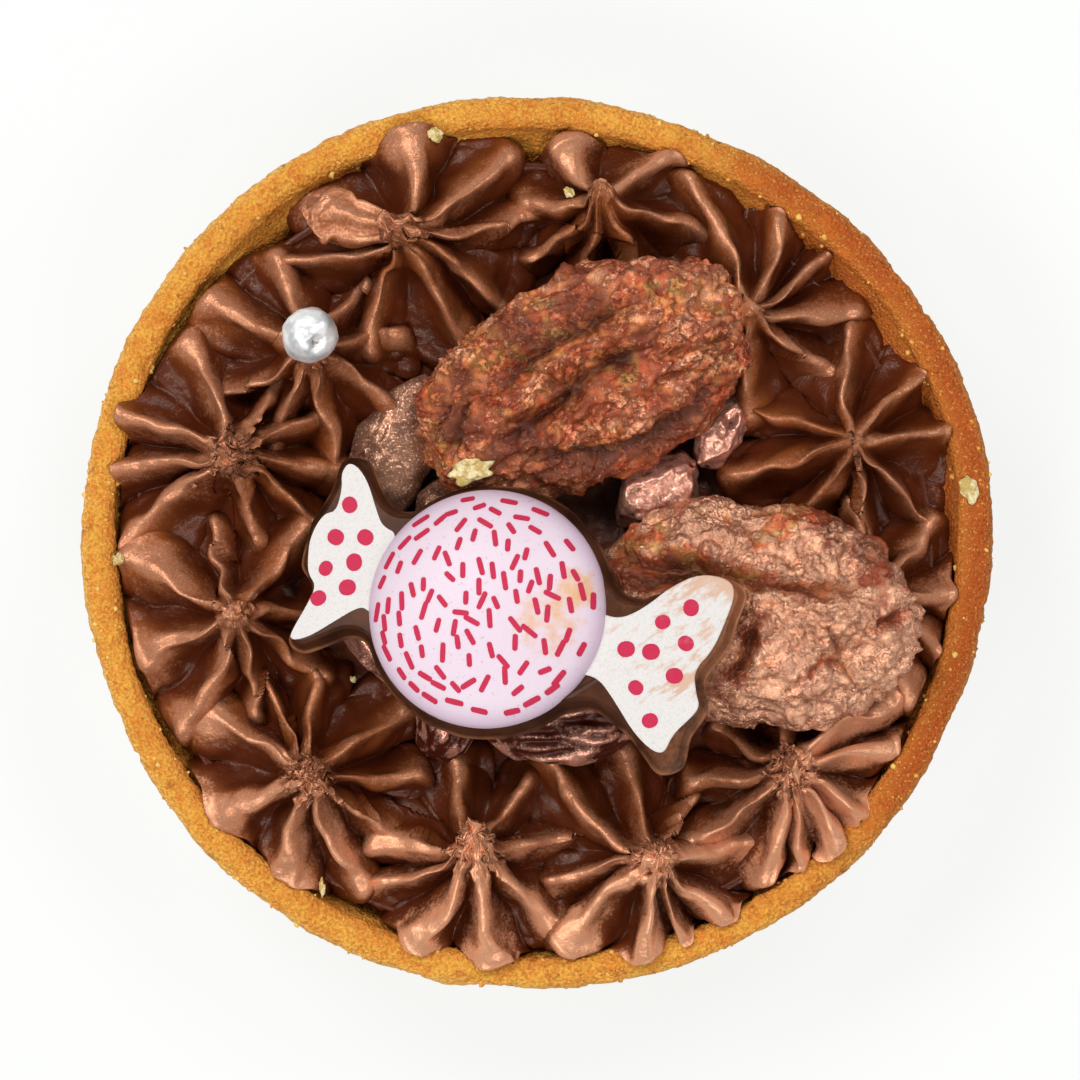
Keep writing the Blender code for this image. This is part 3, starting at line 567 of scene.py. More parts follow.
def icing_finish(settings):
    """White printed field, a little wavy, with bronze smears at its right end."""
    f = Finish("white_print", Specular_IOR_Level=0.25)
    waves = f.grain(2.2, 2.0)
    specks = f.grain(0.11, 2.0, 0.6)
    streaks = f.grain(2.2, 4.0, 0.7, f.turned((0, 0, 0), (0, 0, 0.6), (1.0, 0.35, 1.0)))
    smear = (f.axis("X") * 60.0 + (streaks - 0.5) * 5.0).between(0.6, 1.4)
    f.base = f.mix(specks.between(0.45, 0.75) * 0.35, (0.72, 0.69, 0.665), (0.46, 0.42, 0.39))
    f.lay(smear * 0.75, (0.62, 0.33, 0.19))
    f.relief(waves * 0.9 + specks * 0.1, 0.13)
    return f.done(Roughness=0.55)


def print_finish(settings):
    """Crimson cocoa butter of the dashes and dots."""
    f = Finish("crimson_print", Specular_IOR_Level=0.2)
    specks = f.grain(0.2, 2.0, 0.6)
    rubbed = (f.axis("X") * 60.0 + (f.grain(0.5, 3.0, 0.7) - 0.5) * 3.0).between(0.9, 2.2)
    f.base = f.mix(specks * 0.5, settings.crimson, (0.60, 0.05, 0.11))
    f.lay(rubbed * 0.6, (0.68, 0.30, 0.28))
    f.relief(specks, 0.01)
    return f.done(Roughness=0.6)


def pearl_finish():
    """Silver-coated sugar, half matte, with worn grey places."""
    f = Finish("silver_sugar", Specular_IOR_Level=0.5)
    worn = f.grain(0.8, 3.0, 0.6)
    fine = f.grain(0.2, 2.0)
    f.base = f.mix(worn.between(0.42, 0.66), (0.90, 0.90, 0.885), (0.55, 0.57, 0.58))
    f.lay(f.mark("pit") * fine.between(0.3, 0.6) * 0.85, (0.20, 0.12, 0.06))
    f.relief(worn * 0.6 + fine * 0.4, 0.08)
    return f.done(Roughness=0.33 + worn * 0.2, Metallic=0.55 - worn * 0.3)


def crumb_finish():
    """Loose shortcrust crumbs, paler than the rim."""
    f = Finish("pale_crumb", Specular_IOR_Level=0.3)
    fine = f.grain(0.25, 3.0, 0.6)
    f.base = f.mix(f.grain(0.9, 2.0).between(0.4, 0.6), (0.66, 0.27, 0.04), (0.86, 0.54, 0.13))
    flake = f.mix(f.grain(0.45, 3.0, 0.7).between(0.42, 0.60), (0.50, 0.36, 0.11), (0.80, 0.72, 0.42))
    f.lay(f.mark("cream") * 0.9, flake)
    f.relief(fine, 0.1)
    return f.done(Roughness=0.75)


def floor_finish():
    """Plain pale matte table with a faint glow of its own, which keeps the shadows light."""
    f = Finish("pale_table", Specular_IOR_Level=0.1, Emission_Strength=0.80)
    f.base = f.mix(f.grain(60.0, 2.0), (0.155, 0.16, 0.16), (0.165, 0.165, 0.165))
    return f.done(Emission_Color=(0.985, 1.0, 0.985), Roughness=0.9)


# ---------------------------------------------------------------- shaping helpers


def ease(low, high, value):
    """0 under low, 1 over high, smooth between; works on arrays."""
    share = np.clip((value - low) / (high - low), 0.0, 1.0)
    return share * share * (3.0 - 2.0 * share)


SLOPES = np.random.default_rng(4).normal(size=(256, 3))
SHUFFLE = np.random.default_rng(9).permutation(256)


def lumps(points, size, seed=0.0):
    """Smooth noise of about -1 to 1 at each point, with lumps of this size, both in millimetres."""
    place = np.asarray(points, float) / size + seed * np.array((7.3, 3.1, 5.7))
    cell = np.floor(place).astype(int)
    inside = place - cell
    fade = inside ** 3 * (inside * (inside * 6 - 15) + 10)
    total = np.zeros(len(place))
    for corner in np.ndindex(2, 2, 2):
        x, y, z = ((cell + corner) & 255).T
        slope = SLOPES[SHUFFLE[(SHUFFLE[(SHUFFLE[x] + y) & 255] + z) & 255]]
        weight = np.prod(np.where(corner, fade, 1 - fade), axis=1)
        total += weight * np.einsum("ij,ij->i", slope, inside - corner)
    return total


def turn_matrix(yaw, pitch, roll):
    """Pitch lifts the +X end, roll lifts the +Y side, and yaw then turns about Z."""
    return (
        Matrix.Rotation(math.radians(yaw), 3, "Z")
        @ Matrix.Rotation(math.radians(-pitch), 3, "Y")
        @ Matrix.Rotation(math.radians(roll), 3, "X")
    )


def read_points(mesh):
    flat = np.empty(len(mesh.vertices) * 3)
    mesh.vertices.foreach_get("co", flat)
    return flat.reshape(-1, 3)


def write_points(mesh, points):
    mesh.vertices.foreach_set("co", np.ascontiguousarray(points, float).ravel())
    mesh.update()


def write_marks(mesh, **marks):
    """Numbers for the mesh's finish: one for each vertex, or one for them all."""
    for name, values in marks.items():
        made = mesh.attributes.new(name, "FLOAT", "POINT")
        made.data.foreach_set("value", np.full(len(mesh.vertices), values, float))


def azimuth_and_radius(points):
    return np.arctan2(points[:, 1], points[:, 0]), np.hypot(points[:, 0], points[:, 1])


def mesh_from(shape, name):
    mesh = bpy.data.meshes.new(name)
    shape.to_mesh(mesh)
    shape.free()
    return mesh


def rolled(name, around, rings, place):
    """A closed mesh from a grid rolled up about Z: place gives points for azimuths and rows from 0 to 1."""
    shape = bmesh.new()
    bmesh.ops.create_grid(shape, x_segments=around, y_segments=rings, size=1.0)
    flat = np.array([vertex.co for vertex in shape.verts])
    points = place((flat[:, 0] + 1) * math.pi, (1 - flat[:, 1]) / 2)
    for vertex, point in zip(shape.verts, points):
        vertex.co = point
    border = [vertex for vertex in shape.verts if vertex.is_boundary]
    bmesh.ops.remove_doubles(shape, verts=border, dist=0.001 * MM)
    return mesh_from(shape, name)


def ball(name, around, rings):
    """A unit sphere's mesh and its points."""
    def place(azimuth, row):
        polar = row * math.pi
        off = np.sin(polar)
        return np.stack([off * np.cos(azimuth), off * np.sin(azimuth), np.cos(polar)], 1)

    mesh = rolled(name, around, rings, place)
    return mesh, read_points(mesh)


def add_piece(name, mesh, finish, slot, *stands_for):
    """Links a finished mesh, lets it ride with the tart and hides the solids it stands for."""
    mesh.shade_smooth()
    mesh.materials.append(finish)
    piece = bpy.data.objects.new(name, mesh)
    bpy.context.collection.objects.link(piece)
    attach(piece, "root")
    if stands_for:
        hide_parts(*stands_for)


def out_of_round(azimuth):
    """The case's radius at this azimuth, as a share of its mean radius."""
    return 1 + sum(c * np.cos(n * azimuth) + s * np.sin(n * azimuth) for n, c, s in OUT_OF_ROUND)


def spin_profile(name, profile, steps):
    """A chain of (radius, height) points in millimetres, from top pole to bottom pole, turned about Z."""
    chain = np.array(profile, float) * MM

    def place(azimuth, row):
        radius, height = chain[np.rint(row * (len(chain) - 1)).astype(int)].T
        return np.stack([radius * np.cos(azimuth), radius * np.sin(azimuth), height], 1)

    return rolled(name, steps, len(profile) - 1, place)


def even_steps(corners, step):
    """Points along straight runs between corners, about a step apart."""
    path = []
    for (x0, y0), (x1, y1) in zip(corners, corners[1:]):
        count = max(1, round(math.hypot(x1 - x0, y1 - y0) / step))
        path += [(x0 + (x1 - x0) * k / count, y0 + (y1 - y0) * k / count) for k in range(count)]
    return path + [corners[-1]]


# ---------------------------------------------------------------- shortcrust case


def crust_profile(rim, top):
    """The case's outline from the middle of its floor, over the rim, to the middle of its underside."""
    foot = rim * FOOT_SHARE
    slope = (rim - foot) / top

    def outer(z):
        return foot + slope * z

    def inner(z):
        return outer(z) - WALL - THICKER_BELOW * float(ease(top - 0.5, top - 3.6, z))

    def rounded(turn):
        across, up = -math.cos(turn), math.sin(turn)
        radius = inner(top) + 1.45 + 1.5 * math.copysign(abs(across) ** 0.8, across)
        return (radius, top - RIM_ROUNDING + RIM_ROUNDING * up ** 0.6)

    rounding = [rounded(turn) for turn in np.linspace(math.pi, 0, 14)]
    profile = [(0, FLOOR), (12, FLOOR), (24, FLOOR), (inner(FLOOR) - 1.2, FLOOR)]
    profile += [(inner(FLOOR + 1.2), FLOOR + 1.2)]
    profile += even_steps([(inner(6), 6), (inner(12), 12)], 1.5)[:-1]
    profile += even_steps([(inner(12), 12), rounding[-1]], 0.35)[:-1]
    profile += rounding[::-1]
    profile += even_steps([rounding[0], (outer(top - 4) - 0.3, top - 4), (outer(0.8), 0.8)], 0.36)[1:]
    profile += [(outer(0) - 0.25, 0.25), (outer(0) - 0.9, 0.0), (30, 0), (20, 0), (10, 0), (0, 0)]
    return profile, outer


def crust_mesh(settings):
    """The case as a turned shell, made out of round, then roughened with sandy grains."""
    top = settings.height / MM
    profile, outer = crust_profile(settings.radius / MM, top)
    mesh = spin_profile("shortcrust_case", profile, 720)

    points = read_points(mesh) / MM
    azimuth, radius = azimuth_and_radius(points)
    middle = outer(points[:, 2]) - WALL / 2
    across = np.clip((radius - middle) / (WALL / 2), -1.0, 1.0)
    high = ease(top - 3.5, top, points[:, 2])
    normals = np.empty(len(points) * 3)
    mesh.vertices.foreach_get("normal", normals)
    normals = normals.reshape(-1, 3)
    ring = np.stack([np.cos(azimuth), np.sin(azimuth), np.full(len(points), 0.3)], 1)
    set_back = 1.4 * steepness(azimuth) * ease(top - 0.5, top - 3.6, points[:, 2]) * ease(26, 31, radius)
    set_back *= ease(-0.7, -1.0, across)
    points[:, :2] *= (out_of_round(azimuth) + set_back / np.maximum(radius, 1.0))[:, None]
    points[:, 2] += 0.22 * lumps(ring, 1 / 2.6) * high
    open_air = ease(0.0, 1.2, points[:, 2]) * ease(8.0, 12.0, points[:, 2] + 20 * (across > -0.5))
    grain = settings.grain / MM
    push = (
        0.30 * lumps(points, 7.0, 1)
        + 0.12 * lumps(points, 2.2, 2)
        + 0.7 * grain * lumps(points, 0.9, 3)
        + 1.7 * grain * lumps(points, 0.42, 4)
    )
    pits = ease(0.42, 0.75, lumps(points, 1.1, 5)) * 0.25
    points += normals * ((push - pits) * open_air)[:, None]
    points[:, 2] = np.maximum(points[:, 2], 0.0)
    write_points(mesh, points * MM)
    # inner_side marks the inner side of the rim near its top, where shade is painted
    write_marks(mesh, outer_edge=ease(0.35, 1.0, across) * ease(12.0, 17.5, points[:, 2]),
                inner_side=ease(0.1, 0.9, -across) * high)
    return mesh


def steepness(azimuth):
    """How steep the case's inner side is: 0 on the side where it slants most, 1 across from it."""
    return ease(0.10, 0.5, (1 - np.cos(azimuth - math.radians(70))) / 2)


def filling_mesh():
    """The ganache that the stars stand on, with a slightly uneven top."""
    wall = 31.0  # radius at the foot of the filling's side
    under = FLOOR + 0.2
    profile = even_steps([(0, FILLING_TOP), (wall + 3.2, FILLING_TOP)], 0.6)
    profile += [(wall + 3.6, FILLING_TOP - 0.6), (wall + 1.6, 8.0), (wall, 4.6)]
    profile += [(wall - 1.6, under), (0, under)]
    mesh = spin_profile("ganache_filling", profile, 200)
    points = read_points(mesh) / MM
    azimuth, radius = azimuth_and_radius(points)
    set_back = 1.3 * steepness(azimuth) * ease(29, 33, radius)
    points[:, :2] *= (out_of_round(azimuth) + set_back / np.maximum(radius, 1.0))[:, None]
    top = ease(FILLING_TOP - 0.3, FILLING_TOP - 0.1, points[:, 2])
    climb = 2.4 * ease(31.0, 34.6, radius)
    points[:, 2] += top * (0.35 * lumps(points, 4.0, 11) + 0.12 * lumps(points, 1.2, 12) - 0.3 + climb)
    write_points(mesh, points * MM)
    # hollow=1.0 paints the whole filling in the shaded groove colour, as painted shade under the stars
    write_marks(mesh, crest=0.0, hollow=1.0, dusting=0.2)
    return mesh


# ---------------------------------------------------------------- piped stars

BEARING, REACH, BEND, BREADTH, TIP = range(5)  # columns in a star's table of ridges
ROWS_TO_TIP = 0.60  # share of the sphere's rows that shape a star's top, out to its ridges' tips
ROWS_TO_FOOT = 0.86
FACETS_PER_RIDGE = 36
STAR_ROWS = 104
SKIRT = 2.0  # how far a star swells beyond its ridges' tips
OUTER_SWELL = 2.6  # how much more its grooves swell on the side of the rim
CREST_AT_PEAK = 0.66  # half width of a ridge where it leaves the peak
NUB_HEIGHT = 1.3


def kept_in(points):
    """Eases points back from the rim: low ones stay inside the wall, high ones may lap over it a little."""
    azimuth, radius = azimuth_and_radius(points)
    limit = (36.9 + 2.1 * ease(18.2, 20.0, points[:, 2])) * out_of_round(azimuth)
    over = (radius - limit) / 0.5
    eased = limit - 0.5 * np.log1p(np.exp(-np.clip(over, -20, 60))) + 0.03 * over
    eased = np.where(over < -20, radius, eased)
    points = points.copy()
    points[:, :2] *= (eased / np.maximum(radius, 1e-9))[:, None]
    return points


def pull_peak(points, radius, upper, pull, crumbled, index):
    """Pulls a star's peak aside and crumbles the nub that the nozzle left; says where peak and nub are."""
    peak = np.exp(-((radius / (0.9 + 0.45 * crumbled)) ** 2)) * upper
    points[:, 0] += pull[0] * peak
    points[:, 1] += pull[1] * peak
    points[:, 2] += 0.9 * np.exp(-(radius ** 2)) * upper
    nub = 0.4 + 0.8 * crumbled
    ragged = radius * (1 + 0.4 * lumps(points, 1.1, 181 + index))
    knob = ease(1.2 * nub, 0.7 * nub, ragged) * upper * ease(0.9, 1.6, crumbled)
    points[:, 2] += NUB_HEIGHT * knob
    crumble = np.exp(-((radius / (1.2 * crumbled)) ** 4)) * upper
    shake = 0.2 * crumbled * crumble + 0.3 * knob
    points[:, 0] += shake * lumps(points, 0.75, 21 + index)
    points[:, 1] += shake * lumps(points, 0.75, 41 + index)
    points[:, 2] += shake * 1.3 * (lumps(points, 0.8, 61 + index) + 0.5 * lumps(points, 0.35, 81 + index))
    return peak, knob


def star_mesh(index, spec, groove):
    """A piped star: ridges that run from the peak to plump tips, with sharp creases between them."""
    centre, pull, crumbled, dusting, ridges = spec
    ridges = sorted(((bearing % 360, *rest) for bearing, *rest in ridges))
    count = len(ridges)
    table = np.array(ridges, float)
    mesh, unit = ball(f"piped_star_{index:02d}", FACETS_PER_RIDGE * count, STAR_ROWS)

    turn = (np.arctan2(unit[:, 1], unit[:, 0]) % math.tau) / math.tau * count
    left = np.floor(turn + 1e-6).astype(int) % count
    share = np.clip(turn - np.floor(turn + 1e-6), 0.0, 1.0)
    right = (left + 1) % count
    bearing_left = table[left, BEARING]
    gap = table[right, BEARING] + 360.0 * (right == 0) - bearing_left
    bearing = bearing_left + gap * share
    blend = ease(0.0, 1.0, share)
    chance = np.random.default_rng(index)
    crease = (0.5 + chance.integers(-5, 6, count) / FACETS_PER_RIDGE)[left]
    aside = np.where(share < crease, share / crease, (1 - share) / (1 - crease))

    def along(column):
        return table[left, column] * (1 - blend) + table[right, column] * blend

    reach = along(REACH)
    breadth = table[np.where(share < crease, left, right), BREADTH]
    tip = along(TIP)

    row = np.arccos(np.clip(unit[:, 2], -1, 1)) / math.pi
    out = np.clip(row / ROWS_TO_TIP, 0, 1) ** 0.92
    rounding = np.clip((row - ROWS_TO_TIP) / (ROWS_TO_FOOT - ROWS_TO_TIP), 0, 1) * math.pi / 2
    closing = np.clip((row - ROWS_TO_FOOT) / (1 - ROWS_TO_FOOT), 0, 1)

    # The top: ribs with creases between them, which end in plump tips.
    from_crest = reach * out * np.radians(gap) / 2 * aside
    crest_width = CREST_AT_PEAK + (breadth * 1.12 - CREST_AT_PEAK) * out ** 1.3
    rib = np.exp(-((from_crest / crest_width) ** (2.1 + 0.8 * dusting)))
    wall = 1 - (np.sqrt(aside ** 2 + 0.04) - 0.2) / (math.sqrt(1.04) - 0.2)
    plump = np.sqrt(np.clip(1 - aside ** (1.7 + 0.6 * breadth), 0, 1))
    round_end = ease(0.6, 1.0, out)
    fullness = 0.2 + 0.45 * ease(0.95, 1.6, breadth)
    height = (1 - round_end) * (0.6 * rib + 0.4 * wall)
    height += round_end * ((1 - fullness) * rib + fullness * plump)
    depth = groove * ease(0.03, 0.42, out) * (1 - 0.2 * round_end)
    z = tip + (PEAK_TOP - tip) * (1 - out ** 0.92) - depth * (1 - height)
    z = STAR_FOOT + (z - STAR_FOOT) * np.cos(rounding) ** 0.6 - 0.2 * closing
    radius = reach * out * (1 - 0.20 * round_end * (1 - plump))
    swell = SKIRT * (1 - 0.55 * ease(19.2, 20.4, tip)) * (0.45 + 0.55 * plump)
    outward = np.cos(np.radians(bearing) - math.atan2(centre[1], centre[0]))
    swell += OUTER_SWELL * ease(0.3, 0.95, outward) * (1 - plump)
    radius = (radius + swell * np.sin(rounding)) * (1 - closing)

    bend = along(BEND) * (1 - out) ** 1.3
    lean = chance.uniform(-0.35, 0.35, count) + 0.3 * (-1) ** index
    lean = np.where(share < crease, lean[left], lean[right]) * rib
    lean *= ease(0.1, 0.5, out) * (1 - 0.5 * round_end)
    angle = np.radians(bearing + bend) + lean / np.maximum(radius, 1.5)
    points = np.stack([centre[0] + radius * np.cos(angle), centre[1] + radius * np.sin(angle), z], 1)

    upper = row < ROWS_TO_TIP
    peak, knob = pull_peak(points, radius, upper, pull, crumbled, index)

    # Unevenness away from the peak.
    free = (1 - closing) * ease(0.05, 0.3, out)
    stripes = lumps(np.stack([turn * 5.0, out * 1.3, np.zeros(len(turn))], 1), 1.0, 201 + index)
    stripes *= ease(0.0, 0.4, np.minimum(turn, count - turn))
    points[:, 2] += free * 0.22 * stripes * np.cos(rounding)
    points[:, 0] += free * 0.55 * lumps(points, 3.4, 101 + index)
    points[:, 1] += free * 0.55 * lumps(points, 3.4, 121 + index)
    points[:, 2] += free * (0.34 * lumps(points, 3.0, 141 + index) + 0.07 * lumps(points, 0.9, 161 + index))
    points = kept_in(points)
    write_points(mesh, points * MM)

    outside = np.cos(rounding) ** 2
    crest = np.exp(-((from_crest / (crest_width * (0.75 + 0.35 * dusting))) ** 2)) * outside
    hollow = ease(0.1, 0.8, 1 - height) * ease(0.05, 0.3, out)
    write_marks(
        mesh,
        crest=np.maximum(crest * (0.8 + 0.2 * out), np.maximum(0.85 * peak, knob)),
        # the star's sides and underside count as hollow, so they take the painted groove shade too
        hollow=np.maximum(hollow, 1 - outside),
        # the dust fades on the inward side, towards the tart's middle, as painted shadow of the plaque and
        # toppings
        dusting=dusting * (0.25 + 0.75 * ease(-0.7, 0.35, outward)),
    )
    return mesh


def tongue_mesh(name, start, end, half_width, thickness, seed):
    """A flattened, ragged ribbon of ganache dragged off a peak, with grooves along it."""
    mesh, unit = ball(name, 120, 60)
    start, end = Vector(start), Vector(end)
    length = (end - start).length
    ahead = (end - start).normalized()
    aside = Vector((-ahead.y, ahead.x, 0)).normalized()
    up = ahead.cross(aside)
    t = (unit[:, 0] + 1) / 2
    width = half_width * (0.40 + 0.60 * ease(0.2, 0.8, t))
    width *= np.sqrt(np.clip(1 - np.clip(t, 0, 1) ** 8, 0, 1))
    borders = np.stack([unit[:, 0] * 3, np.sign(unit[:, 1]), np.zeros(len(t))], 1)
    w = unit[:, 1] * width * (1 + 0.35 * ease(0.3, 0.7, t) * lumps(borders, 0.7, seed))
    grooves = 0.22 * np.cos(unit[:, 1] * 2.3 * math.pi + 2.0 * t)
    grooves *= ease(0.0, 0.2, t) * (1 - 0.6 * ease(0.5, 0.9, t))
    n = unit[:, 2] * thickness + grooves * (unit[:, 2] > 0) - 0.6 * (unit[:, 1] ** 2) * t
    points = np.array(start) + np.outer(t * length, ahead) + np.outer(w, aside) + np.outer(n, up)
    for axis in range(3):
        waves = 0.30 * lumps(points, 2.2, seed + axis)
        frays = 0.24 * lumps(points, 0.7, seed + 5 + axis) * ease(0.6, 0.9, t)
        points[:, axis] += (waves + frays) * ease(0.0, 0.4, t)
    write_points(mesh, points * MM)
    crest = np.clip(0.25 + 1.6 * grooves, 0.0, 1) * (unit[:, 2] > -0.2)
    write_marks(mesh, crest=crest, hollow=0.0, dusting=0.45)
    return mesh


# ---------------------------------------------------------------- pecans, nuts and pearl


def from_line(points, line):
    """Distance of each (x, y) point to a line through corners, and its place along it, from 0 to 1."""
    nearest = np.full(len(points), 1e9)
    place = np.zeros(len(points))
    for k, (start, end) in enumerate(zip(line, line[1:])):
        start, run = np.array(start), np.subtract(end, start)
        share = np.clip((points - start) @ run / (run @ run), 0, 1)
        away = np.linalg.norm(points - start - share[:, None] * run, axis=1)
        closer = away < nearest
        nearest = np.where(closer, away, nearest)
        place = np.where(closer, (k + share) / (len(line) - 1), place)
    return nearest, place


def near_spots(points, spots, reach, seed):
    """1 at the (x, y) spots, fading raggedly to 0 about this far from them."""
    found = np.zeros(len(points))
    for spot in spots:
        away = np.hypot(points[:, 0] - spot[0], points[:, 1] - spot[1])
        away = away * (1 + 0.7 * lumps(points, 0.8 * reach, seed))
        found = np.maximum(found, ease(reach, 0.35 * reach, away))
    return found


def pecan_mesh(name, node, settings, seed):
    """Half a pecan under candy: a long flattened form with furrows along it and a crumpled coat."""
    centre, half, turn = PECANS[node]
    marks = PECAN_MARKS[node]
    mesh, unit = ball(name, 400, 180)
    x, y, z = unit.T
    body = np.stack([
        np.sign(x) * np.abs(x) ** 0.84 * half[0],
        np.sign(y) * np.abs(y) ** 0.88 * half[1],
        np.sign(z) * np.abs(z) ** 0.78 * half[2],
    ], 1)
    placed = body @ np.array(turn_matrix(*turn)).T + np.array(centre)
    flat = placed[:, :2] + 0.45 * np.stack([lumps(placed, 1.6, seed), lumps(placed, 1.6, seed + 1)], 1)
    upper = ease(-0.2, 0.35, z)
    furrow = np.zeros(len(unit))
    for line, half_width, depth in marks["furrows"]:
        away, place = from_line(flat, line)
        ends = ease(0.0, 0.2, place) * ease(1.0, 0.8, place)
        furrow = np.maximum(furrow, depth * (0.35 + 0.65 * ends) * np.exp(-((away / half_width) ** 1.6)))
    long_grain = lumps(body * (0.3, 1, 1), 1.5, seed + 2)
    bent = body + 0.9 * np.stack([lumps(body, 2.4, seed + 10 + k) for k in range(3)], 1)
    crumple = np.abs(lumps(bent * (0.6, 1, 1), 1.7, seed + 3))
    rough = ease(-0.15, 0.45, lumps(body, 3.6, seed + 14))
    crisp = np.abs(lumps(bent, 0.7, seed + 4))
    push = (
        0.6 * lumps(body, 5.5, seed + 5)
        + 0.35 * lumps(body, 2.6, seed + 9)
        - settings.wrinkle / MM * furrow * upper
        + 0.42 * long_grain
        + 0.85 * crumple
        + (0.12 + 0.34 * rough) * crisp
        + (0.05 + 0.15 * rough) * lumps(body, 0.45, seed + 6)
        - 0.40
    )
    turned = placed + unit @ np.array(turn_matrix(*turn)).T * push[:, None]
    write_points(mesh, turned * MM)
    write_marks(
        mesh,
        # the underside, where z is low, is marked as furrow too, so it is painted dark as shade
        furrow=np.clip(furrow * upper * 0.8 + ease(0.15, 0.75, -z), 0, 1),
        olive=near_spots(placed, marks["olive"], 2.6, seed + 7) * upper,
        ember=near_spots(placed, marks["ember"], 2.8, seed + 8) * upper,
        plum=near_spots(placed, marks["plum"], 3.0, seed + 9),
    )
    return mesh


def nut_mesh(name, node, seed):
    """A small nut with grooves along it, and with broken faces at a random tilt."""
    (cx, cy), half, yaw, grain, pale, broken = NUTS[node]
    mesh, unit = ball(name, 140, 70)
    x, y, z = unit.T
    body = np.sign(unit) * np.abs(unit) ** 0.9 * np.array(half)
    grooves = lumps(body * (0.16, 1, 1), 0.8, seed)
    push = 0.5 * lumps(body, 3.0, seed + 1) + grain * grooves + 0.10 * lumps(body, 0.9, seed + 2)
    points = body + unit * push[:, None]
    chance = np.random.default_rng(seed)
    for _ in range(7):
        face = chance.normal(size=3) * (1, 1, 0.7) + (0, 0, 0.4)
        face /= np.linalg.norm(face)
        reach = np.linalg.norm(face * half) * (1 - 0.38 * broken * chance.uniform(0.4, 1.0))
        points -= np.maximum(points @ face - reach, 0)[:, None] * face * 0.85
    rough = (0.16 * lumps(points, 0.8, seed + 3) + 0.3 * lumps(points, 2.0, seed + 4)) * broken * 1.3
    points += unit * rough[:, None]
    turned = points @ np.array(turn_matrix(yaw, 0, 0)).T + np.array((cx, cy, FILLING_TOP + half[2] - 0.2))
    write_points(mesh, turned * MM)
    write_marks(mesh, crest=np.clip(pale + 3.0 * grain * grooves, 0, 1), blush=float(grain > 0.1))
    return mesh


def pearl_mesh(name):
    """The sugar pearl, a little dented, with one small pit."""
    mesh, unit = ball(name, 96, 64)
    pit = Vector((0.28, -0.34, 0.9)).normalized()
    near = 1 - unit @ np.array(pit) + 0.015 * lumps(unit, 0.25, 5)
    hollow = np.exp(-((near / 0.035) ** 2)) * 0.2
    size = 1 + 0.10 * lumps(unit, 0.8, 3) + 0.02 * lumps(unit, 0.3, 4) - hollow
    write_points(mesh, (unit * (size * PEARL_RADIUS)[:, None] + np.array(PEARL_CENTRE)) * MM)
    write_marks(mesh, pit=np.exp(-((near / 0.022) ** 2)))
    return mesh


# ---------------------------------------------------------------- plaque


def fillet_path(corners, step):
    """A closed path through (x, y, radius) corners, each rounded by an arc of its radius."""
    path = []
    count = len(corners)
    for i, (x, y, radius) in enumerate(corners):
        here = Vector((x, y))
        if radius <= 0:
            path.append(here)
            continue
        before = (Vector(corners[i - 1][:2]) - here).normalized()
        after = (Vector(corners[(i + 1) % count][:2]) - here).normalized()
        half = before.angle(after) / 2
        centre = here + (before + after).normalized() * radius / math.sin(half)
        start = here + before * radius / math.tan(half) - centre
        turn = math.pi - 2 * half
        if before.cross(after) > 0:
            turn = -turn
        steps = max(1, round(abs(turn) / step))
        path += [centre + Matrix.Rotation(turn * k / steps, 2) @ start for k in range(steps + 1)]
    return path


def plaque_outline():
    """A disc with a scalloped wing at each end, joined by rounded necks."""
    def arc(first, last):
        count = round(abs(last - first) / math.radians(4))
        angles = [first + (last - first) * k / count for k in range(count + 1)]
        return [(DISC_RADIUS * math.cos(a), DISC_RADIUS * math.sin(a), 0) for a in angles]

    below = arc(-WING_OPENING, -math.pi + WING_OPENING)
    above = arc(math.pi - WING_OPENING, WING_OPENING)
    return fillet_path(RIGHT_WING + below + LEFT_WING + above, math.radians(9))


def even_path(path, step):
    """A closed path read again at even steps."""
    lengths = [(path[(i + 1) % len(path)] - p).length for i, p in enumerate(path)]
    count = round(sum(lengths) / step)
    spacing = sum(lengths) / count
    made, i, gone = [], 0, 0.0
    for k in range(count):
        target = k * spacing
        while gone + lengths[i] < target:
            gone += lengths[i]
            i += 1
        made.append(path[i].lerp(path[(i + 1) % len(path)], (target - gone) / lengths[i]))
    return made


def inset(path, by):
    """A closed clockwise path moved inwards."""
    moved = []
    for i, here in enumerate(path):
        ahead = (path[(i + 1) % len(path)] - path[i - 1]).normalized()
        moved.append(here + Vector((ahead.y, -ahead.x)) * by)
    return moved


def face_of_plaque(u, w):
    """Height of the plaque's top face over its underside."""
    return PLAQUE_THICKNESS - WING_FALL * max(0.0, abs(u) - 0.85 * DISC_RADIUS)


def dome_height(u, w):
    """Height of the dome's skin over the plaque's underside."""
    inside = max(0.0, 1 - (u * u + w * w) / DOME_RADIUS ** 2)
    return DOME_CENTRE + DOME_HEIGHT * math.sqrt(inside)


def settle(mesh):
    """Moves a mesh from the plaque's own frame, in millimetres, to its place on the tart."""
    place = Matrix.Translation(Vector(PLAQUE_CENTRE) * MM) @ turn_matrix(*PLAQUE_TURN).to_4x4()
    mesh.transform(place @ Matrix.Scale(MM, 4))
    return mesh


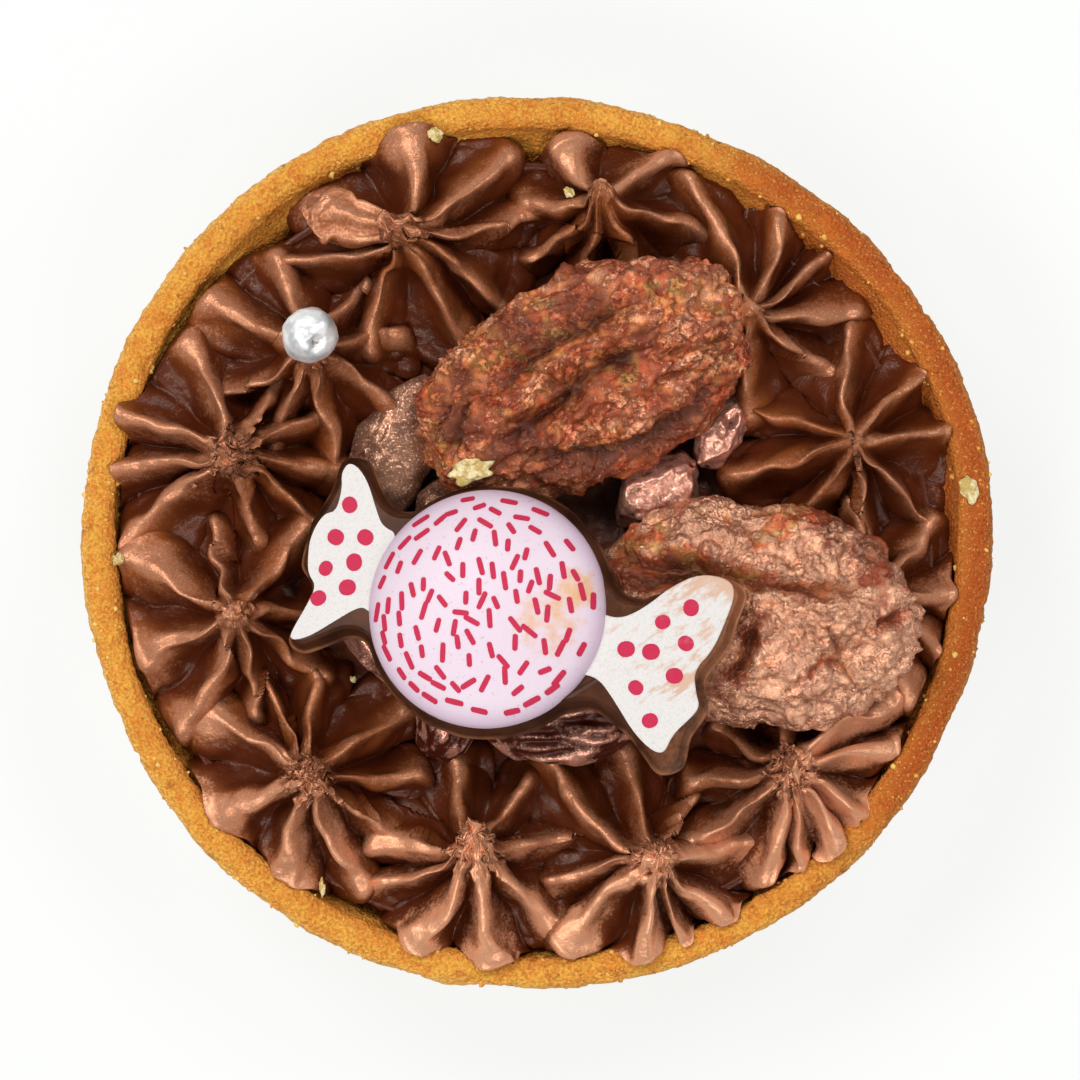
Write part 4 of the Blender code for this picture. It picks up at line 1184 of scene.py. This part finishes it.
def layered(name, outline, layers):
    """A closed body on an outline, from (inset, height at (u, w)) layers, bottom to top."""
    shape = bmesh.new()
    rings = []
    for by, height in layers:
        ring = [shape.verts.new((p.x, p.y, height(p.x, p.y))) for p in inset(outline, by)]
        closing = [shape.edges.new((ring[i - 1], ring[i])) for i in range(len(ring))]
        if rings:
            bmesh.ops.bridge_loops(shape, edges=rings[-1] + closing)
        rings.append(closing)
    for ring in (rings[0], rings[-1]):
        bmesh.ops.triangle_fill(shape, edges=ring, use_beauty=True)
    bmesh.ops.recalc_face_normals(shape, faces=shape.faces)
    mesh = mesh_from(shape, name)
    write_marks(mesh, rise=read_points(mesh)[:, 2] / PLAQUE_THICKNESS)
    return settle(mesh)


def plaque_mesh():
    """Moulded body: a thin lip at the foot, a sloping shoulder and a flat face."""
    outline = even_path(softened(even_path(plaque_outline(), 0.8), 2), 0.3)
    wobble = [p + Vector((0.14 * noise.noise(Vector((p.x / 2.5, p.y / 2.5, 1.0))),
                          0.14 * noise.noise(Vector((p.x / 2.5, p.y / 2.5, 9.0))))) for p in outline]

    def up(share):
        return lambda u, w: share * face_of_plaque(u, w)

    return layered("sweet_plaque", wobble, [
        (0.25, up(0.0)), (0.05, up(0.06)), (0.0, up(0.16)), (0.02, up(0.24)), (0.20, up(0.30)),
        (0.34, up(0.45)), (0.48, up(0.70)), (0.66, up(0.90)), (0.95, up(1.0)),
    ])


def dome_mesh():
    """The printed dome: a flattened ball, cut flat inside the plaque."""
    mesh, unit = ball("pink_dome", 160, 60)
    points = unit * np.array((DOME_RADIUS, DOME_RADIUS, DOME_HEIGHT)) + np.array((0, 0, DOME_CENTRE))
    points[:, 2] = np.maximum(points[:, 2], 1.6)
    off = np.hypot(unit[:, 0], unit[:, 1])
    write_points(mesh, points)
    near = np.hypot(points[:, 0] - 7.3, points[:, 1] - 4.0)
    far = np.hypot(points[:, 0] - 6.0, points[:, 1] - 0.5)
    smear = np.maximum(ease(3.6, 0.4, near), 0.75 * ease(6.0, 1.0, far))
    # rim marks the dome's steep edge, where shade is painted
    write_marks(mesh, rim=ease(0.84, 1.0, off), smear=smear)
    return settle(mesh)


def softened(path, rounds):
    """A closed path with its corners cut off this many times."""
    for _ in range(rounds):
        pairs = list(zip(path, path[1:] + path[:1]))
        path = [here.lerp(ahead, share) for here, ahead in pairs for share in (0.25, 0.75)]
    return path


def icing_mesh(name, corners):
    """A thin printed field on one of the plaque's wings."""
    outline = even_path(softened([Vector(corner) for corner in corners], 3), 0.25)
    return layered(name, outline, [
        (0.0, lambda u, w: face_of_plaque(u, w) - 0.5),
        (0.0, lambda u, w: face_of_plaque(u, w) + 0.02),
        (0.07, lambda u, w: face_of_plaque(u, w) + 0.07),
    ])


def add_chip(shape, u, w, angle, length, width, height, thickness):
    """Adds one thin printed patch with round ends that lies on a surface given by height(u, w)."""
    made = bmesh.ops.create_cone(shape, cap_ends=True, cap_tris=True, segments=16, radius1=width / 2,
                                 radius2=width / 2, depth=thickness)["verts"]
    spin = Matrix.Rotation(angle, 2)
    for vertex in made:
        flat = Vector((vertex.co.x, vertex.co.y))
        if abs(flat.x) > 0.01 * width:
            flat.x += math.copysign((length - width) / 2, flat.x)
        flat = spin @ flat + Vector((u, w))
        vertex.co = (flat.x, flat.y, height(flat.x, flat.y) + vertex.co.z)


def dashes_mesh(settings):
    """Dashes that stand upright in the middle of the dome and turn along its edge."""
    chance = random.Random(12)
    shape = bmesh.new()
    upright = math.pi / 2 - math.radians(PLAQUE_TURN[0])
    placed = []
    while len(placed) < settings.dashes:
        radius = DOME_RADIUS * math.sqrt(chance.uniform(0.0, 0.84))
        bearing = chance.uniform(0, math.tau)
        u, w = radius * math.cos(bearing), radius * math.sin(bearing)
        crowded = any(math.hypot(u - a, w - b) < DASH_SPACING for a, b in placed)
        thinned = u > 3.0 and chance.random() < 0.45
        if crowded or thinned:
            continue
        placed.append((u, w))
        edge = max(0.0, min(1.0, (radius / DOME_RADIUS - 0.55) / 0.3))
        along_edge = bearing + math.pi / 2
        middle = upright + math.radians(chance.gauss(7, 22))
        while along_edge - middle > math.pi / 2:
            along_edge -= math.pi
        while along_edge - middle < -math.pi / 2:
            along_edge += math.pi
        angle = middle + (along_edge - middle) * edge + math.radians(chance.gauss(0, 8))
        add_chip(shape, u, w, angle, chance.uniform(*DASH_LENGTHS), DASH_WIDTH, dome_height, 0.11)
    return settle(mesh_from(shape, "crimson_dashes"))


def dots_mesh():
    """Round dots on both wings."""
    shape = bmesh.new()
    chance = random.Random(5)
    for u, w in ICING_DOTS:
        size = 2 * DOT_RADIUS * chance.uniform(0.92, 1.08)
        add_chip(shape, u, w, chance.uniform(0, math.pi), size * 1.1, size,
                 lambda a, b: face_of_plaque(a, b) + 0.08, 0.06)
    return settle(mesh_from(shape, "crimson_dots"))


# ---------------------------------------------------------------- crumbs

CRUMBS_ON_RIM = 240
# Single crumbs and flakes, which lie on whatever is under them: place, half sizes and yaw.
LOOSE_CRUMBS = [
    ((38.6, 4.7), (0.75, 1.15, 0.22), 20),
    ((-8.9, 36.2), (0.7, 0.6, 0.4), 0),
    ((-37.0, -1.5), (0.5, 0.5, 0.35), 0),
    ((3.0, 31.0), (0.4, 0.5, 0.35), 30),
    ((-19.0, -30.7), (0.25, 0.75, 0.25), 5),
    ((-16.3, -12.2), (0.28, 0.28, 0.25), 0),
    ((-5.6, 6.3), (1.75, 0.95, 0.45), 14),
]


def crumbs_mesh(rim, under):
    """Crumbs strewn on the rim, and a few larger flakes on the meshes under them."""
    chance = random.Random(8)
    shape = bmesh.new()
    cream = shape.verts.layers.float.new("cream")
    tops = [v.co / MM for v in rim.vertices if v.co.z > 17.0 * MM]

    def add(place, half, yaw, seed, pale=0.0):
        made = bmesh.ops.create_icosphere(shape, subdivisions=4 if pale else 2, radius=1.0)["verts"]
        turn = Matrix.Rotation(math.radians(yaw), 3, "Z")
        for vertex in made:
            vertex[cream] = pale
            at = vertex.co + Vector((seed, 0, 0))
            rough = 1 + 0.5 * noise.noise(at * 1.6) + 0.15 * noise.noise(at * 3.2)
            vertex.co = (Vector(place) + turn @ Vector(c * h * rough for c, h in zip(vertex.co, half))) * MM

    for k in range(CRUMBS_ON_RIM):
        size = 0.10 + 0.18 * chance.random() ** 2
        place = chance.choice(tops)
        half = (size * chance.uniform(0.8, 1.4), size, size * 0.8)
        add(place, half, chance.uniform(0, 180), k)
    below = np.concatenate([read_points(mesh) for mesh in under]) / MM
    for k, ((x, y), half, yaw) in enumerate(LOOSE_CRUMBS):
        near = below[np.hypot(below[:, 0] - x, below[:, 1] - y) < 0.6]
        add((x, y, near[:, 2].max() + 0.1), half, yaw, 50.5 + k, 1.0)
    return mesh_from(shape, "pastry_crumbs")


# ---------------------------------------------------------------- operators


class TART_OT_crust(bpy.types.Operator):
    """Makes the shortcrust case"""
    bl_idname = "tart.crust"
    bl_label = "Shortcrust Case"

    def execute(self, context):
        settings = context.scene.tart_crust
        add_piece("shortcrust_case", crust_mesh(settings), crust_finish(settings), "shortcrust", "case")
        return {"FINISHED"}


class TART_OT_ganache(bpy.types.Operator):
    """Makes the filling and the ring of piped stars"""
    bl_idname = "tart.ganache"
    bl_label = "Ganache and Piped Stars"

    def execute(self, context):
        settings = context.scene.tart_ganache
        finish = ganache_finish(settings)
        add_piece("ganache_filling", filling_mesh(), finish, "ganache", "filling")
        for index, spec in enumerate(STARS, start=1):
            mesh = star_mesh(index, spec, settings.groove / MM)
            add_piece(mesh.name, mesh, finish, "ganache", f"rosette_{index:02d}")
        tail = tongue_mesh("dragged_tail", (-10.0, 27.2, 24.2), (-20.6, 29.1, 22.2), 3.1, 0.7, 301)
        add_piece("dragged_tail", tail, finish, "ganache")
        return {"FINISHED"}


class TART_OT_nuts(bpy.types.Operator):
    """Makes the candied pecans and the bronzed nuts"""
    bl_idname = "tart.nuts"
    bl_label = "Pecans and Nuts"

    def execute(self, context):
        settings = context.scene.tart_nuts
        for node, foil, seed in (("pecan_1", 0.0, 201), ("pecan_2", 1.0, 231)):
            finish = pecan_finish(f"candied_{node}", settings, foil)
            mesh = pecan_mesh(f"candied_{node}", node, settings, seed)
            add_piece(mesh.name, mesh, finish, "candied_pecan", node)
        finish = nut_finish(settings)
        for seed, node in enumerate(NUTS, start=251):
            mesh = nut_mesh(f"bronzed_{node}", node, seed * 3)
            add_piece(mesh.name, mesh, finish, "bronzed_nut", node)
        return {"FINISHED"}


class TART_OT_plaque(bpy.types.Operator):
    """Makes the sweet-shaped plaque and its print"""
    bl_idname = "tart.plaque"
    bl_label = "Plaque"

    def execute(self, context):
        settings = context.scene.tart_plaque
        body = plaque_mesh()
        add_piece("sweet_plaque", body, plaque_finish(settings), "chocolate_plaque", "plaque")
        body.set_sharp_from_angle(angle=math.radians(25))
        add_piece("pink_dome", dome_mesh(), dome_finish(settings), "chocolate_plaque")
        icing = icing_finish(settings)
        crimson = print_finish(settings)
        prints = [
            (icing_mesh("white_wing_left", LEFT_ICING), icing),
            (icing_mesh("white_wing_right", RIGHT_ICING), icing),
            (dashes_mesh(settings), crimson),
            (dots_mesh(), crimson),
        ]
        for mesh, finish in prints:
            add_piece(mesh.name, mesh, finish, "chocolate_plaque")
            mesh.set_sharp_from_angle(angle=math.radians(30))
        return {"FINISHED"}


class TART_OT_pearl(bpy.types.Operator):
    """Makes the silver sugar pearl"""
    bl_idname = "tart.pearl"
    bl_label = "Sugar Pearl"

    def execute(self, context):
        add_piece("sugar_pearl", pearl_mesh("sugar_pearl"), pearl_finish(), "silver_pearl", "pearl")
        return {"FINISHED"}


class TART_OT_crumbs(bpy.types.Operator):
    """Strews crumbs on the rim of the case, and a few pale flakes on the toppings"""
    bl_idname = "tart.crumbs"
    bl_label = "Crumbs"

    def execute(self, context):
        rim = bpy.data.objects["shortcrust_case"].data
        under = [piece.data for piece in bpy.data.objects
                 if piece.name.startswith(("shortcrust_case", "piped_star", "candied_pecan"))]
        add_piece("pastry_crumbs", crumbs_mesh(rim, under), crumb_finish(), "shortcrust")
        return {"FINISHED"}


# Azimuth and elevation in degrees, width in metres and power in watts of each soft light.
LAMPS = {
    "upper_left": (130, 52, 0.28, 3.0),
    "upper_right": (55, 54, 0.26, 1.9),
    "right": (-10, 46, 0.26, 0.9),
    "lower_right": (-70, 54, 0.26, 1.65),
    "lower_left": (-125, 54, 0.26, 1.9),
    "left": (172, 44, 0.26, 1.35),
}
LAMP_DISTANCE = 0.9
TABLE_RADIUS = 3.0
CAMERA_PLACE = (0.0004, 0.00022)  # in plan


class TART_OT_stage(bpy.types.Operator):
    """Makes the table, the soft lights and the camera"""
    bl_idname = "tart.stage"
    bl_label = "Stage"

    def execute(self, context):
        settings = context.scene.tart_stage
        shape = bmesh.new()
        bmesh.ops.create_circle(shape, cap_ends=True, segments=96, radius=TABLE_RADIUS)
        mesh = mesh_from(shape, "table")
        mesh.materials.append(floor_finish())
        table = bpy.data.objects.new("table", mesh)
        context.collection.objects.link(table)

        for name, (azimuth, elevation, size, power) in LAMPS.items():
            lamp = bpy.data.lights.new(name, "AREA")
            lamp.size = size
            lamp.energy = power * settings.light
            light = bpy.data.objects.new(name, lamp)
            light.location = turn_matrix(azimuth, elevation, 0) @ Vector((LAMP_DISTANCE, 0, 0))
            light.rotation_euler = (-light.location).to_track_quat("-Z", "Y").to_euler()
            context.collection.objects.link(light)

        world = bpy.data.worlds.new("studio")
        world.use_nodes = True
        background = world.node_tree.nodes["Background"]
        background.inputs["Color"].default_value = (1.0, 1.0, 1.0, 1.0)
        background.inputs["Strength"].default_value = 0.10
        context.scene.world = world
        context.scene.view_settings.view_transform = "Standard"

        lens = bpy.data.cameras.new("camera")
        lens.sensor_width = 36.0
        distance = settings.camera_height - context.scene.tart_crust.height
        lens.lens = lens.sensor_width * distance / settings.view_width
        lens.clip_start = 0.01
        camera = bpy.data.objects.new("camera", lens)
        camera.location = (*CAMERA_PLACE, settings.camera_height)
        context.collection.objects.link(camera)
        context.scene.camera = camera
        return {"FINISHED"}


class TART_PT_panel(bpy.types.Panel):
    """Lists the tart's settings and the buttons that make its pieces"""
    bl_label = "Praline Tart"
    bl_idname = "TART_PT_panel"
    bl_space_type = "VIEW_3D"
    bl_region_type = "UI"
    bl_category = "Tart"

    def draw(self, context):
        for attribute, operators in PANEL_ROWS:
            box = self.layout.box()
            settings = getattr(context.scene, attribute)
            for name in settings.bl_rna.properties.keys():
                if name not in ("rna_type", "name"):
                    box.prop(settings, name)
            for operator in operators:
                box.operator(operator.bl_idname)


PANEL_ROWS = [
    ("tart_crust", [TART_OT_crust, TART_OT_crumbs]),
    ("tart_ganache", [TART_OT_ganache]),
    ("tart_nuts", [TART_OT_nuts, TART_OT_pearl]),
    ("tart_plaque", [TART_OT_plaque]),
    ("tart_stage", [TART_OT_stage]),
]
SETTINGS = {
    "tart_crust": CrustSettings,
    "tart_ganache": GanacheSettings,
    "tart_nuts": NutSettings,
    "tart_plaque": PlaqueSettings,
    "tart_stage": StageSettings,
}
OPERATORS = [TART_OT_crust, TART_OT_ganache, TART_OT_nuts, TART_OT_plaque, TART_OT_pearl, TART_OT_crumbs,
             TART_OT_stage]


def register():
    for cls in [*SETTINGS.values(), *OPERATORS, TART_PT_panel]:
        bpy.utils.register_class(cls)
    for name, group in SETTINGS.items():
        setattr(bpy.types.Scene, name, PointerProperty(type=group))


def unregister():
    for name in SETTINGS:
        delattr(bpy.types.Scene, name)
    for cls in reversed([*SETTINGS.values(), *OPERATORS, TART_PT_panel]):
        bpy.utils.unregister_class(cls)


def main():
    register()
    bpy.ops.tart.crust()
    bpy.ops.tart.ganache()
    bpy.ops.tart.nuts()
    bpy.ops.tart.plaque()
    bpy.ops.tart.pearl()
    bpy.ops.tart.crumbs()
    bpy.ops.tart.stage()


if __name__ == "__main__":
    main()
